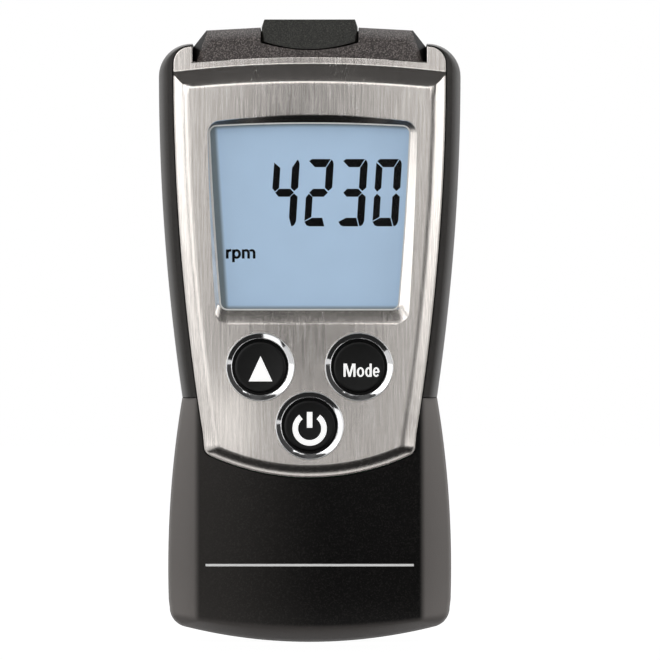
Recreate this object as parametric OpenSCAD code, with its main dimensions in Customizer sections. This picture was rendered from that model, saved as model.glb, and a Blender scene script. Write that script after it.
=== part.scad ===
// Pocket optical tachometer, upright: +Z points from the foot to the sensor head.
// The display faces -Y, the battery cover faces +Y, and the origin is at the middle of the foot.

/* [Body] */
// Height from the foot to the top of the sensor window
total_h = 94.7; // [90:0.1:105]
// How far the housing's shoulders lie below the top
shoulder_drop = 3.6; // [3:0.1:5]
// Width across the shoulders, the widest place
shoulder_w = 46; // [44:0.5:52]
// Width at the waist, where the lower cover's sides end
waist_w = 38.8; // [37.5:0.1:42]
// Width across the foot
foot_w = 43.1; // [42:0.1:48]
// Depth from the button rings to the back
total_d = 23; // [22.5:0.1:27]
// Height of the waist seam
waist_z = 37.2; // [35:0.1:39]
// How far below the top the upper sides start to draw in
shoulder_tan_drop = 8.2; // [3.2:0.5:8.2]
// Height at which the foot is widest
foot_tan_z = 11.5; // [9:0.5:14]
// Radius of the arc under the foot
foot_arc_r = 78; // [70:1:120]
// Corner radius of the foot
foot_corner_r = 3; // [2:0.1:4]
// Corner radius of the shoulders
shoulder_corner_r = 5; // [4:0.1:6]
// Wall of the rear housing
wall = 1.95; // [1.8:0.05:2.2]
// Wall of the rear housing's back
back_wall = 1.8; // [1.5:0.1:2]
// Radius around the back edge
back_round_r = 3.5; // [2.5:0.1:4]

/* [Front] */
// How far a button ring stands out of the metal face
ring_proud = 0.6; // [0.4:0.05:0.9]
// Height of the bevel around the metal face
plate_bevel_d = 1.2; // [0.8:0.05:1.3]
// Thickness of the metal face's base sheet
plate_sheet_t = 1.3; // [1:0.05:1.5]
// Width of the shoulder beside the metal face
plate_side = 2.3; // [2.1:0.1:3]
// Width of the metal face just above its lower corners
plate_foot_w = 32.1; // [30:0.1:32.6]
// Height of the metal face's lowest point
plate_foot_z = 25.1; // [24:0.1:27]
// Width of the bevel along the metal face's sides
plate_side_bevel = 2.4; // [1.5:0.1:2.8]
// Width of the bevel along the metal face's lower edge
plate_foot_bevel = 1.9; // [1:0.1:2.4]
// How far the metal face stands out of the lower cover
plate_proud = 0.8; // [0.4:0.05:1]
// Depth of the housing's rounded side strip
strip_round_d = 6; // [4:0.5:7]
// Width that the rounded side strip draws in by
strip_round_w = 1.45; // [1.2:0.05:1.5]
// Wall of the lower cover
cover_wall = 1.8; // [1.5:0.1:2]
// Half width of the lower cover's flat front
cover_flat_half = 17.3; // [16.9:0.1:18]
// Height of the crease above the lower cover's foot facet
cover_crease_z = 2.25; // [1.5:0.05:3]
// How far the flat front draws in towards the waist
cover_flat_draw = 0.3; // [0.1:0.05:0.5]

/* [Display] */
// Width of the display recess at its top
recess_top_w = 31.8; // [30:0.1:33]
// Width of the display recess at its foot
recess_foot_w = 28.7; // [28:0.1:30]
// How far below the top the middle of the recess's upper edge lies
recess_drop = 14.5; // [13.7:0.1:15.7]
// Height of the recess's lower edge
recess_foot_z = 48.2; // [48:0.1:50]
// Depth of the recess's bevel
recess_d = 0.9; // [0.5:0.05:1.1]
// Width of the display opening at its top
opening_top_w = 30.2; // [29:0.1:31]
// Width of the display opening at its foot
opening_foot_w = 26.9; // [26:0.1:28]
// How far below the top the middle of the opening's upper edge lies
opening_drop = 15.9; // [15.3:0.1:16.7]
// Height of the opening's lower edge
opening_foot_z = 50.7; // [50:0.1:51.5]
// Thickness of the clear window
window_t = 0.9; // [0.8:0.1:1]
// Thickness of the foam gasket
gasket_t = 0.4; // [0.3:0.05:0.5]
// Thickness of the liquid crystal glass
lcd_t = 1.7; // [1.5:0.1:1.8]
// Thickness of the light guide
backlight_t = 1; // [0.8:0.1:1.2]

/* [Buttons] */
// Distance of the two upper buttons from the middle
button_x = 7.5; // [7:0.1:8.5]
// Height of the two upper buttons
button_z = 41.9; // [41:0.1:43]
// Height of the power button
power_z = 33; // [32.5:0.1:34]
// Outer radius of a button ring
ring_r = 5.2; // [5:0.05:5.4]
// Radius of a button's cap
cap_r = 3.95; // [3.5:0.05:4.05]
// Travel of a button
button_travel = 0.6; // [0.3:0.05:0.8]
// Clearance between a button and its ring
button_gap = 0.3; // [0.2:0.05:0.4]

/* [Sensor head] */
// Width of the shoulder beside the sensor head
head_side = 5.3; // [5.2:0.1:6]
// How far the head's flat top beside the shroud lies below the top
head_top_drop = 1.2; // [0.9:0.1:1.5]
// How far the head's outer corners above the chamfer lie below the top
head_corner_drop = 1.65; // [1.6:0.05:2.2]
// How far the lower end of the end chamfers lies below the top
head_chamfer_drop = 4.2; // [3.8:0.1:4.4]
// Width of the head's end chamfers
head_chamfer_w = 2; // [1:0.1:3]
// Wall of the sensor head
head_wall = 1.5; // [1.2:0.1:1.8]
// Width of the shroud at its top
shroud_top_w = 13.8; // [13:0.1:15]
// Width of the shroud where it meets the head
shroud_w = 14.6; // [14:0.1:16]
// Spacing of the emitter and the receiver
optics_pitch = 6.4; // [6:0.1:7]
// Radius of the lenses
lens_r = 2.3; // [2:0.05:2.5]

/* [Battery bay] */
// Length of a cell
cell_l = 44.5; // [44:0.1:45]
// Radius of a cell
cell_r = 5.25; // [5:0.05:5.4]
// Height of the bay's lower inner wall
bay_z = 4.2; // [4:0.1:5]
// Room at the springs' end of the bay
spring_room = 3; // [2.5:0.1:4]
// Thickness of the battery cover
door_t = 1.5; // [1.2:0.1:1.6]
// Width of the battery cover
door_w = 25; // [24.6:0.1:26]
// Height of the battery cover's lower edge
door_foot_z = 4.8; // [4.6:0.1:6]
// Travel that unlatches the battery cover
door_travel = 4; // [2:0.1:4.2]

/* [Boards and screws] */
// Thickness of the main board
board_t = 1; // [0.8:0.1:1.2]
// Half width of the main board
board_half = 15.4; // [14:0.1:15.6]
// Height of the main board's lower edge
board_foot_z = 20.5; // [19:0.5:22]
// How far the main board's upper edge lies below the top
board_drop = 10.4; // [9.8:0.1:10.7]
// Shank radius of a housing screw
screw_r = 0.9; // [0.7:0.05:1]
// Head radius of a housing screw
screw_head_r = 1.8; // [1.5:0.05:1.9]

/* [Hidden] */

// Clearance between pieces that are fitted to each other
fit = 0.15;
// Gap of a seam that shows
seam = 0.12;
// Overrun of every cut
over = 1;
// Smallest corner radius that an inset outline keeps
least_r = 0.35;
// Smallest distance from the middle line that counts as off it
off_middle = 0.001;
// Thickness of the display frame's back and the gap between it and the main board
lcd_frame_t = 0.6;
board_gap = 0.2;

// Places along the depth, front first
ring_y = -total_d / 2;
face_y = ring_y + ring_proud;
bevel_y = face_y + plate_bevel_d;
sheet_y = bevel_y + plate_sheet_t;
cover_y = face_y + plate_proud;
back_y = total_d / 2;
parting_y = -1;
window_y = sheet_y + fit;
gasket_y = window_y + window_t;
lcd_y = gasket_y + gasket_t;
light_y = lcd_y + lcd_t;
frame_back_y = light_y + backlight_t + lcd_frame_t;
board_y = frame_back_y + board_gap;
board_back_y = board_y + board_t;

// Widths that follow the shoulders
plate_w = shoulder_w - 2 * plate_side;
head_w = shoulder_w - 2 * head_side;

// Distances below the top
plate_tan_drop = 6.7;
ear_drop = 4.1;
notch_mid_drop = 5.7;
notch_end_drop = 6.5;
ridge_mid_drop = 6.8;
ridge_end_drop = 8.05;
crease_mid_drop = 9.9;
crease_end_drop = 10.8;
head_foot_drop = 9.7;
shroud_foot_drop = 7.4;
shroud_mid_drop = 4.55;
shroud_end_drop = 3.4;
holder_drop = 8.4;

// Heights that follow the top: housing, display, metal face, sensor head and boards
shoulder_h = total_h - shoulder_drop;
shoulder_tan_z = total_h - shoulder_tan_drop;
recess_top_z = total_h - recess_drop;
opening_top_z = total_h - opening_drop;
plate_tan_z = total_h - plate_tan_drop;
ear_z = total_h - ear_drop;
notch_mid_z = total_h - notch_mid_drop;
notch_end_z = total_h - notch_end_drop;
ridge_mid_z = total_h - ridge_mid_drop;
ridge_end_z = total_h - ridge_end_drop;
crease_mid_z = total_h - crease_mid_drop;
crease_end_z = total_h - crease_end_drop;
head_foot_z = total_h - head_foot_drop;
head_top_z = total_h - head_top_drop;
head_corner_z = total_h - head_corner_drop;
head_chamfer_z = total_h - head_chamfer_drop;
shroud_foot_z = total_h - shroud_foot_drop;
shroud_mid_z = total_h - shroud_mid_drop;
shroud_end_z = total_h - shroud_end_drop;
holder_z = total_h - holder_drop;
board_top_z = total_h - board_drop;

// Number of steps in each stretch of an outline
foot_steps = 5;
corner_steps = 5;
lower_steps = 7;
upper_steps = 11;
round_steps = 5;
top_steps = 8;

// Metal face: corners of the ears and of the raised face, and the ledge that carries it
plate_foot_tan_z = 30.7;
plate_arc_r = 36;
plate_corner_r = 1.6;
ear_r = 2.7;
ear_gap = 0.1;
strip_top_share = 0.3;
crease_corner_r = 0.4;
raised_lap = 0.08;
ledge_w = 0.9;
ledge_t = 0.8;

// Lower cover: facets along its sides
facet_d = 3.1;
facet_round_d = 1.5;
facet_round_w = 0.35;
facet_wall_share = 0.8;

// Display: corners, bow of the upper edges and sideways shift of the recess
recess_corner_r = 1.6;
recess_bow = 0.9;
recess_shift = 0.5;
opening_corner_r = 1;
opening_bow = 0.4;
opening_shift = 0;
glass_margin = 0.85;
glass_top_half = opening_top_w / 2 + opening_shift + glass_margin;
glass_foot_z = opening_foot_z - glass_margin;
glass_top_z = opening_top_z + glass_margin;
gasket_w = 0.8;
lcd_frame_wall = 0.8;
strip_h = 1.2;
strip_len_share = 0.85;

// Buttons: ring sleeve, flange, plunger and mat
ring_lip = 0.45;
sleeve_short = 0.3;
sleeve_r = ring_r - ring_lip;
sleeve_end_y = sheet_y - sleeve_short;
cap_sunk = 0.35;
cap_dish_r = 26;
flange_r = 4.5;
flange_t = 0.6;
stop_gap = 0.1;
plunger_r = 1.6;
dome_r = 2;
dome_t = 0.35;
mat_t = 0.6;
mat_margin = 5.8;
mat_hole_r = 2.3;
collar_t = 0.8;
press_gap = 0.05;
flange_y = sleeve_end_y + stop_gap;
flange_back_y = flange_y + flange_t;
plunger_end_y = board_y - dome_t - press_gap - button_travel;
collar_y = flange_back_y + button_travel + press_gap;

// Sensor head along the depth, and its flange inside the housing
head_set_back = 0.2;
head_y = bevel_y + head_set_back;
head_back_y = 8.6;
head_face_chamfer_w = 1.6;
head_face_chamfer_d = 2.2;
head_edge = 0.6;
head_flange_w = 0.9;
head_flange_t = 1.4;
head_flange_z = shoulder_h - wall - fit - head_flange_t;
shroud_lean = 1.3;
shroud_back_y = 6.4;
sensor_window_t = 1;
sensor_window_w = 11.4;
sensor_window_d = 6.4;
holder_gap = 0.4;
holder_top_z = total_h - sensor_window_t - holder_gap;
holder_w = 12;
holder_d = 5.6;
lens_t = 1.4;
lens_sunk = 0.2;
lens_z = holder_top_z - lens_t - lens_sunk;
lens_bulge_r = 3.6;
lens_seat_r = 1.9;
diode_r = 1.5;
diode_flange_r = 1.75;
diode_flange_t = 0.7;
diode_h = 3.6;
sensor_board_t = 0.9;
sensor_board_w = 15;
sensor_board_y0 = -2.2;
sensor_board_y1 = 5.6;
pin_r = 0.25;
pin_pitch = 1.27;
pin_count = 5;
pin_edge = 0.8;
pin_y = sensor_board_y0 + pin_edge;
pin_rise = 0.3;
pin_lap = 3;
pin_foot_z = board_top_z - pin_lap;
optics_y = 1.2;

// Battery bay behind the main board
door_in_y = back_y - door_t;
cell_gap = 0.2;
cell_side_gap = 0.25;
cell_y = door_in_y - cell_gap - cell_r;
cell_x = cell_r + cell_side_gap;
bay_wall = 0.9;
bay_half = cell_x + cell_r + cell_side_gap;
bay_floor_y = cell_y - cell_r - fit;
contact_t = 0.3;
contact_share = 0.7;
spring_gap = 0.1;
bay_l = cell_l + spring_room + 2 * (contact_t + cell_gap);
bay_top_z = bay_z + bay_l;
cell_z = bay_z + contact_t + spring_room + spring_gap;
nub_r = 1.9;
nub_h = 0.8;
door_top_lap = 1;
door_top_z = bay_top_z + door_top_lap;
door_land_w = 1.2;
door_land_t = 1.4;
door_gap = 0.15;
bay_mouth_half = door_w / 2 - door_land_w;
door_tab_w = 2.4;
door_tab_out = 0.7;
door_tab_t = 0.7;
door_tabs = 2;
grip_ribs = 5;
grip_pitch = 1.6;
grip_w = 14;
grip_t = 0.7;
grip_sunk = 0.4;
grip_z_share = 0.84;
spring_r = 2.6;
spring_tip_r = 1.7;
spring_wire_r = 0.25;
spring_turns = 3;
spring_sides = 6;
spring_steps = 12;

// Posts, bosses and screws
post_r = 2.1;
post_x = 15.6;
post_low_z = 13.5;
post_high_z = 47.6;
counterbore_gap = 0.2;
post_wall = 0.8;
counterbore_r = screw_head_r + counterbore_gap;
rear_post_r = counterbore_r + post_wall;
counterbore_d = 6;
screw_head_t = 1.3;
screw_bite = 5;
screw_slot_r = 0.8;
screw_slot_d = 0.6;
thread_gap = 0.05;
board_post_r = 1.4;
board_post_x = 13.9;
board_low_z = 22.9;
board_screw_edge = 2.4;
board_high_z = board_top_z - board_screw_edge;
board_screw_r = 0.6;
board_head_r = 1.15;
board_head_t = 0.7;
board_screw_l = 4;
chip_w = 9;
chip_t = 0.9;
chip_x = -7.6;
crystal_w = 3.2;
crystal_l = 7.4;
crystal_gap = 1.3;
chip_gap = 0.8;
crystal_z = bay_top_z + bay_wall + crystal_gap + crystal_w / 2;
chip_z = crystal_z + crystal_w / 2 + chip_gap + chip_w / 2;
part_lift = 0.05;

// Half width of the housing above the waist, drawn in along a parabola
function upper_x(z) = shoulder_w / 2
    - (shoulder_w - waist_w) / 2 * pow(max(0, shoulder_tan_z - z) / (shoulder_tan_z - waist_z), 2);

// Half width of the housing below the waist, widest at foot_tan_z
function lower_x(z) = foot_w / 2
    - (foot_w - waist_w) / 2 * pow((z - foot_tan_z) / (waist_z - foot_tan_z), 2);

// Half width of the metal face
function plate_x(z) = plate_w / 2
    - (plate_w - plate_foot_w) / 2
    * pow(max(0, plate_tan_z - z) / (plate_tan_z - plate_foot_tan_z), 2);

// Points along an arc from angle a0 to a1, with or without its first point
function arc(cx, cz, r, a0, a1, n, first = 0) =
    [for (i = [first:n]) let (a = a0 + (a1 - a0) * i / n) [cx + r * cos(a), cz + r * sin(a)]];

// Centre height of the corner between a foot arc and a side wall
function corner_z(foot_z, arc_r, r, wall_x) =
    foot_z + arc_r - sqrt(pow(arc_r - r, 2) - pow(wall_x - r, 2));

// Foot arc and corner, from the middle line to the side wall
function foot_run(foot_z, arc_r, r, wall_x) =
    let (cz = corner_z(foot_z, arc_r, r, wall_x),
        a = atan2(cz - foot_z - arc_r, wall_x - r))
    concat(arc(0, foot_z + arc_r, arc_r, -90, a, foot_steps),
        arc(wall_x - r, cz, r, a, 0, corner_steps, 1));

// Whole outline from its right half, which runs from the foot to the top
function both_sides(half) = concat(half,
    [for (i = [len(half) - 1:-1:0]) if (half[i][0] > off_middle) [-half[i][0], half[i][1]]]);

// Housing's outline drawn in by an inset, up to the waist
function lower_half(inset) =
    let (wall_x = lower_x(foot_corner_r) - inset,
        r = max(foot_corner_r - inset, least_r),
        z0 = corner_z(inset, foot_arc_r - inset, r, wall_x))
    concat(foot_run(inset, foot_arc_r - inset, r, wall_x),
        [for (i = [1:lower_steps]) let (z = z0 + (waist_z - z0) * i / lower_steps)
            [lower_x(z) - inset, z]]);

// Housing's whole outline drawn in by an inset, of which its top takes a share
function body_outline(inset, top_share = 1) =
    let (r = max(shoulder_corner_r - inset, least_r),
        z1 = shoulder_h - inset * top_share - r)
    both_sides(concat(lower_half(inset),
        [for (i = [1:upper_steps]) let (z = waist_z + (z1 - waist_z) * i / upper_steps)
            [upper_x(z) - inset, z]],
        arc(upper_x(z1) - inset - r, z1, r, 0, 90, corner_steps, 1)));

// Lower cover's outline at the depth where it has full width, drawn in by an inset
function cover_outline(inset) = both_sides(lower_half(inset));

// Lower cover's flat front, drawn in by an inset
function cover_face(inset) =
    let (wall_x = cover_flat_half - inset, foot_z = cover_crease_z + inset,
        arc_r = foot_arc_r + cover_flat_half * 2, r = foot_corner_r / 2,
        z0 = corner_z(foot_z, arc_r, r, wall_x))
    both_sides(concat(foot_run(foot_z, arc_r, r, wall_x),
        [for (i = [1:lower_steps]) let (t = i / lower_steps)
            [wall_x - cover_flat_draw * t * t, z0 + (waist_z - z0) * t]]));

// Side of the metal face from its lower corner up to a height, drawn in by an inset
function plate_side(z0, z1, inset) =
    [for (i = [1:upper_steps]) let (z = z0 + (z1 - z0) * i / upper_steps)
        [plate_x(z) - inset, z]];

// Bowed upper edge from its end to the middle line
function bowed_edge(end_x, end_z, mid_z) =
    [for (i = [1:top_steps]) let (x = end_x * (1 - i / top_steps))
        [x, mid_z - (mid_z - end_z) * pow(x / end_x, 2)]];

// Metal face's lower corner and side, shared by the sheet and the raised face
function plate_run(side_inset, foot_inset, r, top_z) =
    let (wall_x = plate_x(plate_foot_tan_z) - side_inset, foot_z = plate_foot_z + foot_inset,
        arc_r = plate_arc_r - foot_inset, z0 = corner_z(foot_z, arc_r, r, wall_x))
    concat(foot_run(foot_z, arc_r, r, wall_x), plate_side(z0, top_z, side_inset));

// Base sheet with its ears and the notch for the sensor head, grown by a gap
function sheet_outline(grow = 0) =
    let (notch_x = head_w / 2 + ear_gap)
    both_sides(concat(plate_run(-grow, -grow, plate_corner_r + grow, ridge_end_z),
        arc(plate_w / 2 + grow - ear_r, ear_z - ear_r, ear_r, 0, 90, corner_steps),
        [[notch_x, ear_z], [notch_x, notch_end_z]],
        bowed_edge(notch_x, notch_end_z, notch_mid_z)));

// Raised part of the metal face: its base and its flat front
function raised_outline(side_inset, foot_inset, r, end_z, mid_z) =
    both_sides(concat(plate_run(side_inset, foot_inset, r, end_z),
        bowed_edge(plate_x(end_z) - side_inset, end_z, mid_z)));

// Four-cornered display outline with a bowed upper edge
function display_outline(top_w, foot_w, foot_z, top_z, bow, r, shift) =
    let (corner = top_z - bow - r, half = top_w / 2, foot_half = foot_w / 2)
    [for (p = concat(
            arc(foot_half - r, foot_z + r, r, -90, 0, corner_steps),
            arc(half - r, corner, r, 0, 90, corner_steps),
            [for (i = [1:2 * top_steps - 1]) let (x = (half - r) * (1 - i / top_steps))
                [x, top_z - bow * pow(x / (half - r), 2)]],
            arc(r - half, corner, r, 90, 180, corner_steps),
            arc(r - foot_half, foot_z + r, r, 180, 270, corner_steps)))
        [p[0] + shift, p[1]]];

// Solid through outlines at given depths, each section being [y, outline], front first
module loft(sections) {
    n = len(sections[0][1]);
    last = len(sections) - 1;
    polyhedron(
        points = [for (s = sections) for (p = s[1]) [p[0], s[0], p[1]]],
        faces = concat(
            [[for (j = [n - 1:-1:0]) j]],
            [[for (j = [0:n - 1]) last * n + j]],
            [for (i = [0:last - 1]) for (j = [0:n - 1])
                [i * n + j, i * n + (j + 1) % n, (i + 1) * n + (j + 1) % n]],
            [for (i = [0:last - 1]) for (j = [0:n - 1])
                [i * n + j, (i + 1) * n + (j + 1) % n, (i + 1) * n + j]]),
        convexity = 6);
}

// Flat slab of an outline between two depths
module slab(y0, y1, outline) {
    translate([0, y1, 0]) rotate([90, 0, 0]) linear_extrude(y1 - y0) polygon(outline);
}

// Box between two corners
module block(low, high) {
    translate(low) cube(high - low);
}

// Round bar along the depth
module bar(x, z, r, y0, y1) {
    translate([x, y1, z]) rotate([90, 0, 0]) cylinder(h = y1 - y0, r = r, $fn = 48);
}

// Children at the two mirrored sides
module on_both_sides() {
    children();
    mirror([1, 0, 0]) children();
}

// Clear window or glass sheet behind the opening, drawn in by a gap
module glass(y0, y1, inset) {
    block([-glass_top_half + inset, y0, glass_foot_z + inset],
        [glass_top_half - inset, y1, glass_top_z - inset]);
}

module rear_housing() {
    color("#46423f") difference() {
        union() {
            difference() {
                loft(concat(
                    [for (i = [0:round_steps]) let (a = 90 * i / round_steps)
                        [bevel_y + strip_round_d * (1 - cos(a)),
                            body_outline(strip_round_w * (1 - sin(a)), strip_top_share)]],
                    [for (i = [0:round_steps]) let (a = 90 * i / round_steps)
                        [back_y - back_round_r * (1 - sin(a)),
                            body_outline(back_round_r * (1 - cos(a)))]]));
                difference() {
                    loft(concat([[bevel_y - over, body_outline(wall)]],
                        [for (i = [0:round_steps])
                            let (a = 90 * i / round_steps, r = back_round_r - back_wall)
                            [back_y - back_wall - r * (1 - sin(a)),
                                body_outline(wall + r * (1 - cos(a)))]]));
                    // Ledges that carry the metal face above the waist
                    difference() {
                        block([-shoulder_w, sheet_y + fit / 2, waist_z - over],
                            [shoulder_w, sheet_y + ledge_t, crease_end_z]);
                        slab(bevel_y, parting_y, body_outline(wall + ledge_w));
                    }
                }
            }
            // Battery bay and the land around its mouth
            block([-bay_half - bay_wall, bay_floor_y - bay_wall, bay_z - bay_wall],
                [bay_half + bay_wall, back_y - back_wall, bay_top_z + bay_wall]);
            block([-door_w / 2 - bay_wall, door_in_y - door_land_t, wall + fit],
                [door_w / 2 + bay_wall, back_y - back_wall / 2, door_top_z + bay_wall]);
            // Screw posts
            on_both_sides() for (z = [post_low_z, post_high_z])
                bar(post_x, z, rear_post_r, parting_y + seam, back_y - back_wall / 2);
            // Main board posts
            on_both_sides() for (z = [board_low_z, board_high_z])
                bar(board_post_x, z, board_post_r, board_back_y, back_y - back_wall / 2);
        }
        // Everything in front of the parting plane below the waist
        block([-shoulder_w, -total_d, -over], [shoulder_w, parting_y + seam / 2, waist_z + seam / 2]);
        // Inside of the bay and its mouth
        block([-bay_half, bay_floor_y, bay_z], [bay_half, back_y, bay_top_z]);
        block([-bay_mouth_half, door_in_y - door_land_t - door_gap, bay_z],
            [bay_mouth_half, back_y, bay_top_z]);
        // Recess that the battery cover slides in, open towards the foot
        block([-door_w / 2 - door_gap, door_in_y - door_gap, -over],
            [door_w / 2 + door_gap, back_y + over, door_top_z + door_gap]);
        // Slots for the cover's side tabs, open where the slid cover lifts off
        for (i = [0:door_tabs - 1]) on_both_sides() {
            door_tab(i, door_gap, door_travel);
            translate([0, 0, -door_travel]) door_tab(i, door_gap, 0, door_land_t);
        }
        // Room for the metal face's ears
        slab(bevel_y - over, sheet_y + fit / 2, sheet_outline(fit));
        // Opening for the sensor head
        block([-head_w / 2 - fit, bevel_y - over, shoulder_h - wall - over],
            [head_w / 2 + fit, head_back_y + fit, shoulder_h + over]);
        // Counterbores and clearance holes of the housing screws
        on_both_sides() for (z = [post_low_z, post_high_z]) {
            bar(post_x, z, counterbore_r, back_y - counterbore_d, back_y + over);
            bar(post_x, z, screw_r + thread_gap, parting_y - over, back_y);
        }
        // Pilot holes of the board screws
        on_both_sides() for (z = [board_low_z, board_high_z])
            bar(board_post_x, z, board_screw_r + thread_gap / 2,
                board_back_y - over, board_back_y + board_screw_l);
    }
}

module lower_front_cover() {
    facet_y = cover_y + facet_d;
    facet_end_y = facet_y + facet_round_d;
    color("#1c1a19") union() {
        difference() {
            loft([[cover_y, cover_face(0)], [facet_y, cover_outline(facet_round_w)],
                [facet_end_y, cover_outline(0)], [parting_y - seam / 2, cover_outline(0)]]);
            difference() {
                loft([[cover_y + cover_wall, cover_face(cover_wall * facet_wall_share)],
                    [facet_y + cover_wall * facet_wall_share, cover_outline(cover_wall + facet_round_w)],
                    [facet_end_y + cover_wall * facet_wall_share, cover_outline(cover_wall)],
                    [parting_y + over, cover_outline(cover_wall)]]);
                // Lip that the metal face rests on
                slab(cover_y + cover_wall - over, sheet_y + ledge_t, sheet_outline(ledge_w));
            }
            // Pocket of the metal face and the opening within its lip
            slab(cover_y - over, sheet_y + fit / 2, sheet_outline(fit));
            slab(cover_y - over, parting_y, lip_outline());
            block([-shoulder_w, -total_d, waist_z - seam / 2], [shoulder_w, total_d, total_h]);
        }
        // Screw bosses, joined to the front wall
        difference() {
            on_both_sides() bar(post_x, post_low_z, post_r, cover_y + cover_wall / 2, parting_y - seam / 2);
            on_both_sides() bar(post_x, post_low_z, screw_r + thread_gap,
                parting_y - screw_bite - thread_gap, parting_y + over);
        }
    }
}

// Opening within the lip that carries the metal face
function lip_outline() = both_sides(plate_run(ledge_w, ledge_w, plate_corner_r, waist_z + over));

module front_plate() {
    color("#b9b6b1") difference() {
        union() {
            slab(bevel_y, sheet_y, sheet_outline());
            loft([[face_y, raised_outline(plate_side_bevel, plate_foot_bevel, crease_corner_r,
                    crease_end_z, crease_mid_z)],
                [bevel_y + raised_lap, raised_outline(raised_lap, raised_lap, plate_corner_r,
                    ridge_end_z, ridge_mid_z)],
                [bevel_y + plate_sheet_t / 2, raised_outline(plate_side_bevel, plate_foot_bevel,
                    crease_corner_r, crease_end_z, crease_mid_z)]]);
            // Bosses for the upper housing screws
            on_both_sides() bar(post_x, post_high_z, post_r, sheet_y - over / 2, parting_y);
        }
        // Recess and opening of the display
        loft([[face_y - over, recess_outline()], [face_y, recess_outline()],
            [face_y + recess_d, opening_outline()], [sheet_y + over, opening_outline()]]);
        // Button holes
        for (b = button_places()) bar(b[0], b[1], sleeve_r + thread_gap, ring_y, sheet_y + over);
        on_both_sides() bar(post_x, post_high_z, screw_r + thread_gap,
            parting_y - screw_bite - thread_gap, parting_y + over);
    }
}

function recess_outline() = display_outline(recess_top_w, recess_foot_w, recess_foot_z,
    recess_top_z, recess_bow, recess_corner_r, recess_shift);

function opening_outline() = display_outline(opening_top_w, opening_foot_w, opening_foot_z,
    opening_top_z, opening_bow, opening_corner_r, opening_shift);

// Places of the buttons: up, mode, power
function button_places() = [[-button_x, button_z], [button_x, button_z], [0, power_z]];

// Outline of the head seen from the front, drawn in by an inset
function head_outline(inset, foot_z) =
    let (half = head_w / 2 - inset, mid = shroud_w / 2)
    both_sides([[half, foot_z], [half, head_chamfer_z - inset / 2],
        [half - head_chamfer_w + inset / 2, head_corner_z - inset],
        [mid, head_top_z - inset]]);

module sensor_head() {
    color("#3a3432") difference() {
        union() {
            loft([[head_y, head_outline(head_face_chamfer_w, head_foot_z)],
                [head_y + head_edge, head_outline(head_face_chamfer_w - head_edge, head_foot_z)],
                [head_y + head_face_chamfer_d, head_outline(0, head_foot_z)],
                [head_back_y - head_face_chamfer_d, head_outline(0, head_foot_z)],
                [head_back_y, head_outline(head_face_chamfer_w, head_foot_z)]]);
            // Flange that the housing holds
            block([-head_w / 2 - head_flange_w, sheet_y + fit, head_flange_z],
                [head_w / 2 + head_flange_w, head_back_y, head_flange_z + head_flange_t]);
        }
        // Hollow inside
        loft([[head_y + head_face_chamfer_d + head_wall / 2, head_outline(head_wall, head_foot_z - over)],
            [head_back_y - head_wall, head_outline(head_wall, head_foot_z - over)]]);
        // Room for the metal face's notched upper edge
        translate([0, 0, fit]) slab(bevel_y - over, sheet_y + fit / 2, sheet_outline());
        // Mouth for the shroud
        slab(head_y - over, shroud_back_y + fit, shroud_outline(fit));
    }
}

// Shroud seen from the front, with a bowed lower edge, grown by a gap
function shroud_outline(grow) =
    let (half = shroud_w / 2 + grow, sag = shroud_end_z - shroud_mid_z)
    both_sides(concat(
        [for (i = [0:foot_steps]) let (x = half * i / foot_steps)
            [x, shroud_mid_z - grow + sag * pow(x / half, 2)]],
        [[half, head_top_z], [half - (shroud_w - shroud_top_w) / 2, total_h]]));

module sensor_shroud() {
    inner_y = head_y + head_face_chamfer_d + head_wall / 2 + fit;
    color("#2b2d29") difference() {
        union() {
            intersection() {
                slab(head_y - over, shroud_back_y, shroud_outline(0));
                rotate([90, 0, 90]) translate([0, 0, -shroud_w]) linear_extrude(2 * shroud_w) polygon([
                    [head_y + head_edge / 4, shroud_mid_z - over], [shroud_back_y, shroud_mid_z - over],
                    [shroud_back_y, total_h - head_edge], [shroud_back_y - head_edge, total_h],
                    [head_y + shroud_lean, total_h]]);
            }
            // Lower part inside the head
            block([-shroud_w / 2, inner_y, shroud_foot_z],
                [shroud_w / 2, shroud_back_y, head_corner_z - head_wall]);
        }
        // Well for the optics and the window
        block([-holder_w / 2 - fit, optics_y - holder_d / 2 - fit, shroud_foot_z - over],
            [holder_w / 2 + fit, optics_y + holder_d / 2 + fit, total_h - sensor_window_t - fit]);
        block([-sensor_window_w / 2 - fit, optics_y - sensor_window_d / 2 - fit,
                total_h - sensor_window_t - fit],
            [sensor_window_w / 2 + fit, optics_y + sensor_window_d / 2 + fit, total_h + over]);
    }
}

module sensor_window() {
    color("#5a1f26") block([-sensor_window_w / 2, optics_y - sensor_window_d / 2,
            total_h - sensor_window_t], [sensor_window_w / 2, optics_y + sensor_window_d / 2, total_h]);
}

// Children at the emitter's place (side -1) or the receiver's (side 1)
module at_optic(side, z) {
    translate([side * optics_pitch / 2, optics_y, z]) children();
}

module optics_holder() {
    color("#1f1f22") difference() {
        block([-holder_w / 2, optics_y - holder_d / 2, holder_z],
            [holder_w / 2, optics_y + holder_d / 2, holder_top_z]);
        for (side = [-1, 1]) {
            at_optic(side, holder_z - over) cylinder(h = total_h, r = lens_seat_r, $fn = 48);
            at_optic(side, lens_z - fit) cylinder(h = total_h, r = lens_r + thread_gap, $fn = 48);
        }
    }
}

// Plano-convex lens with its flat side up
module lens(side) {
    rim = lens_bulge_r - sqrt(pow(lens_bulge_r, 2) - pow(lens_seat_r - fit, 2));
    at_optic(side, lens_z) union() {
        cylinder(h = lens_t, r = lens_r, $fn = 48);
        translate([0, 0, -rim]) intersection() {
            translate([0, 0, lens_bulge_r]) sphere(r = lens_bulge_r, $fn = 48);
            cylinder(h = rim + lens_t / 2, r = lens_seat_r - fit, $fn = 48);
        }
    }
}

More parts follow.
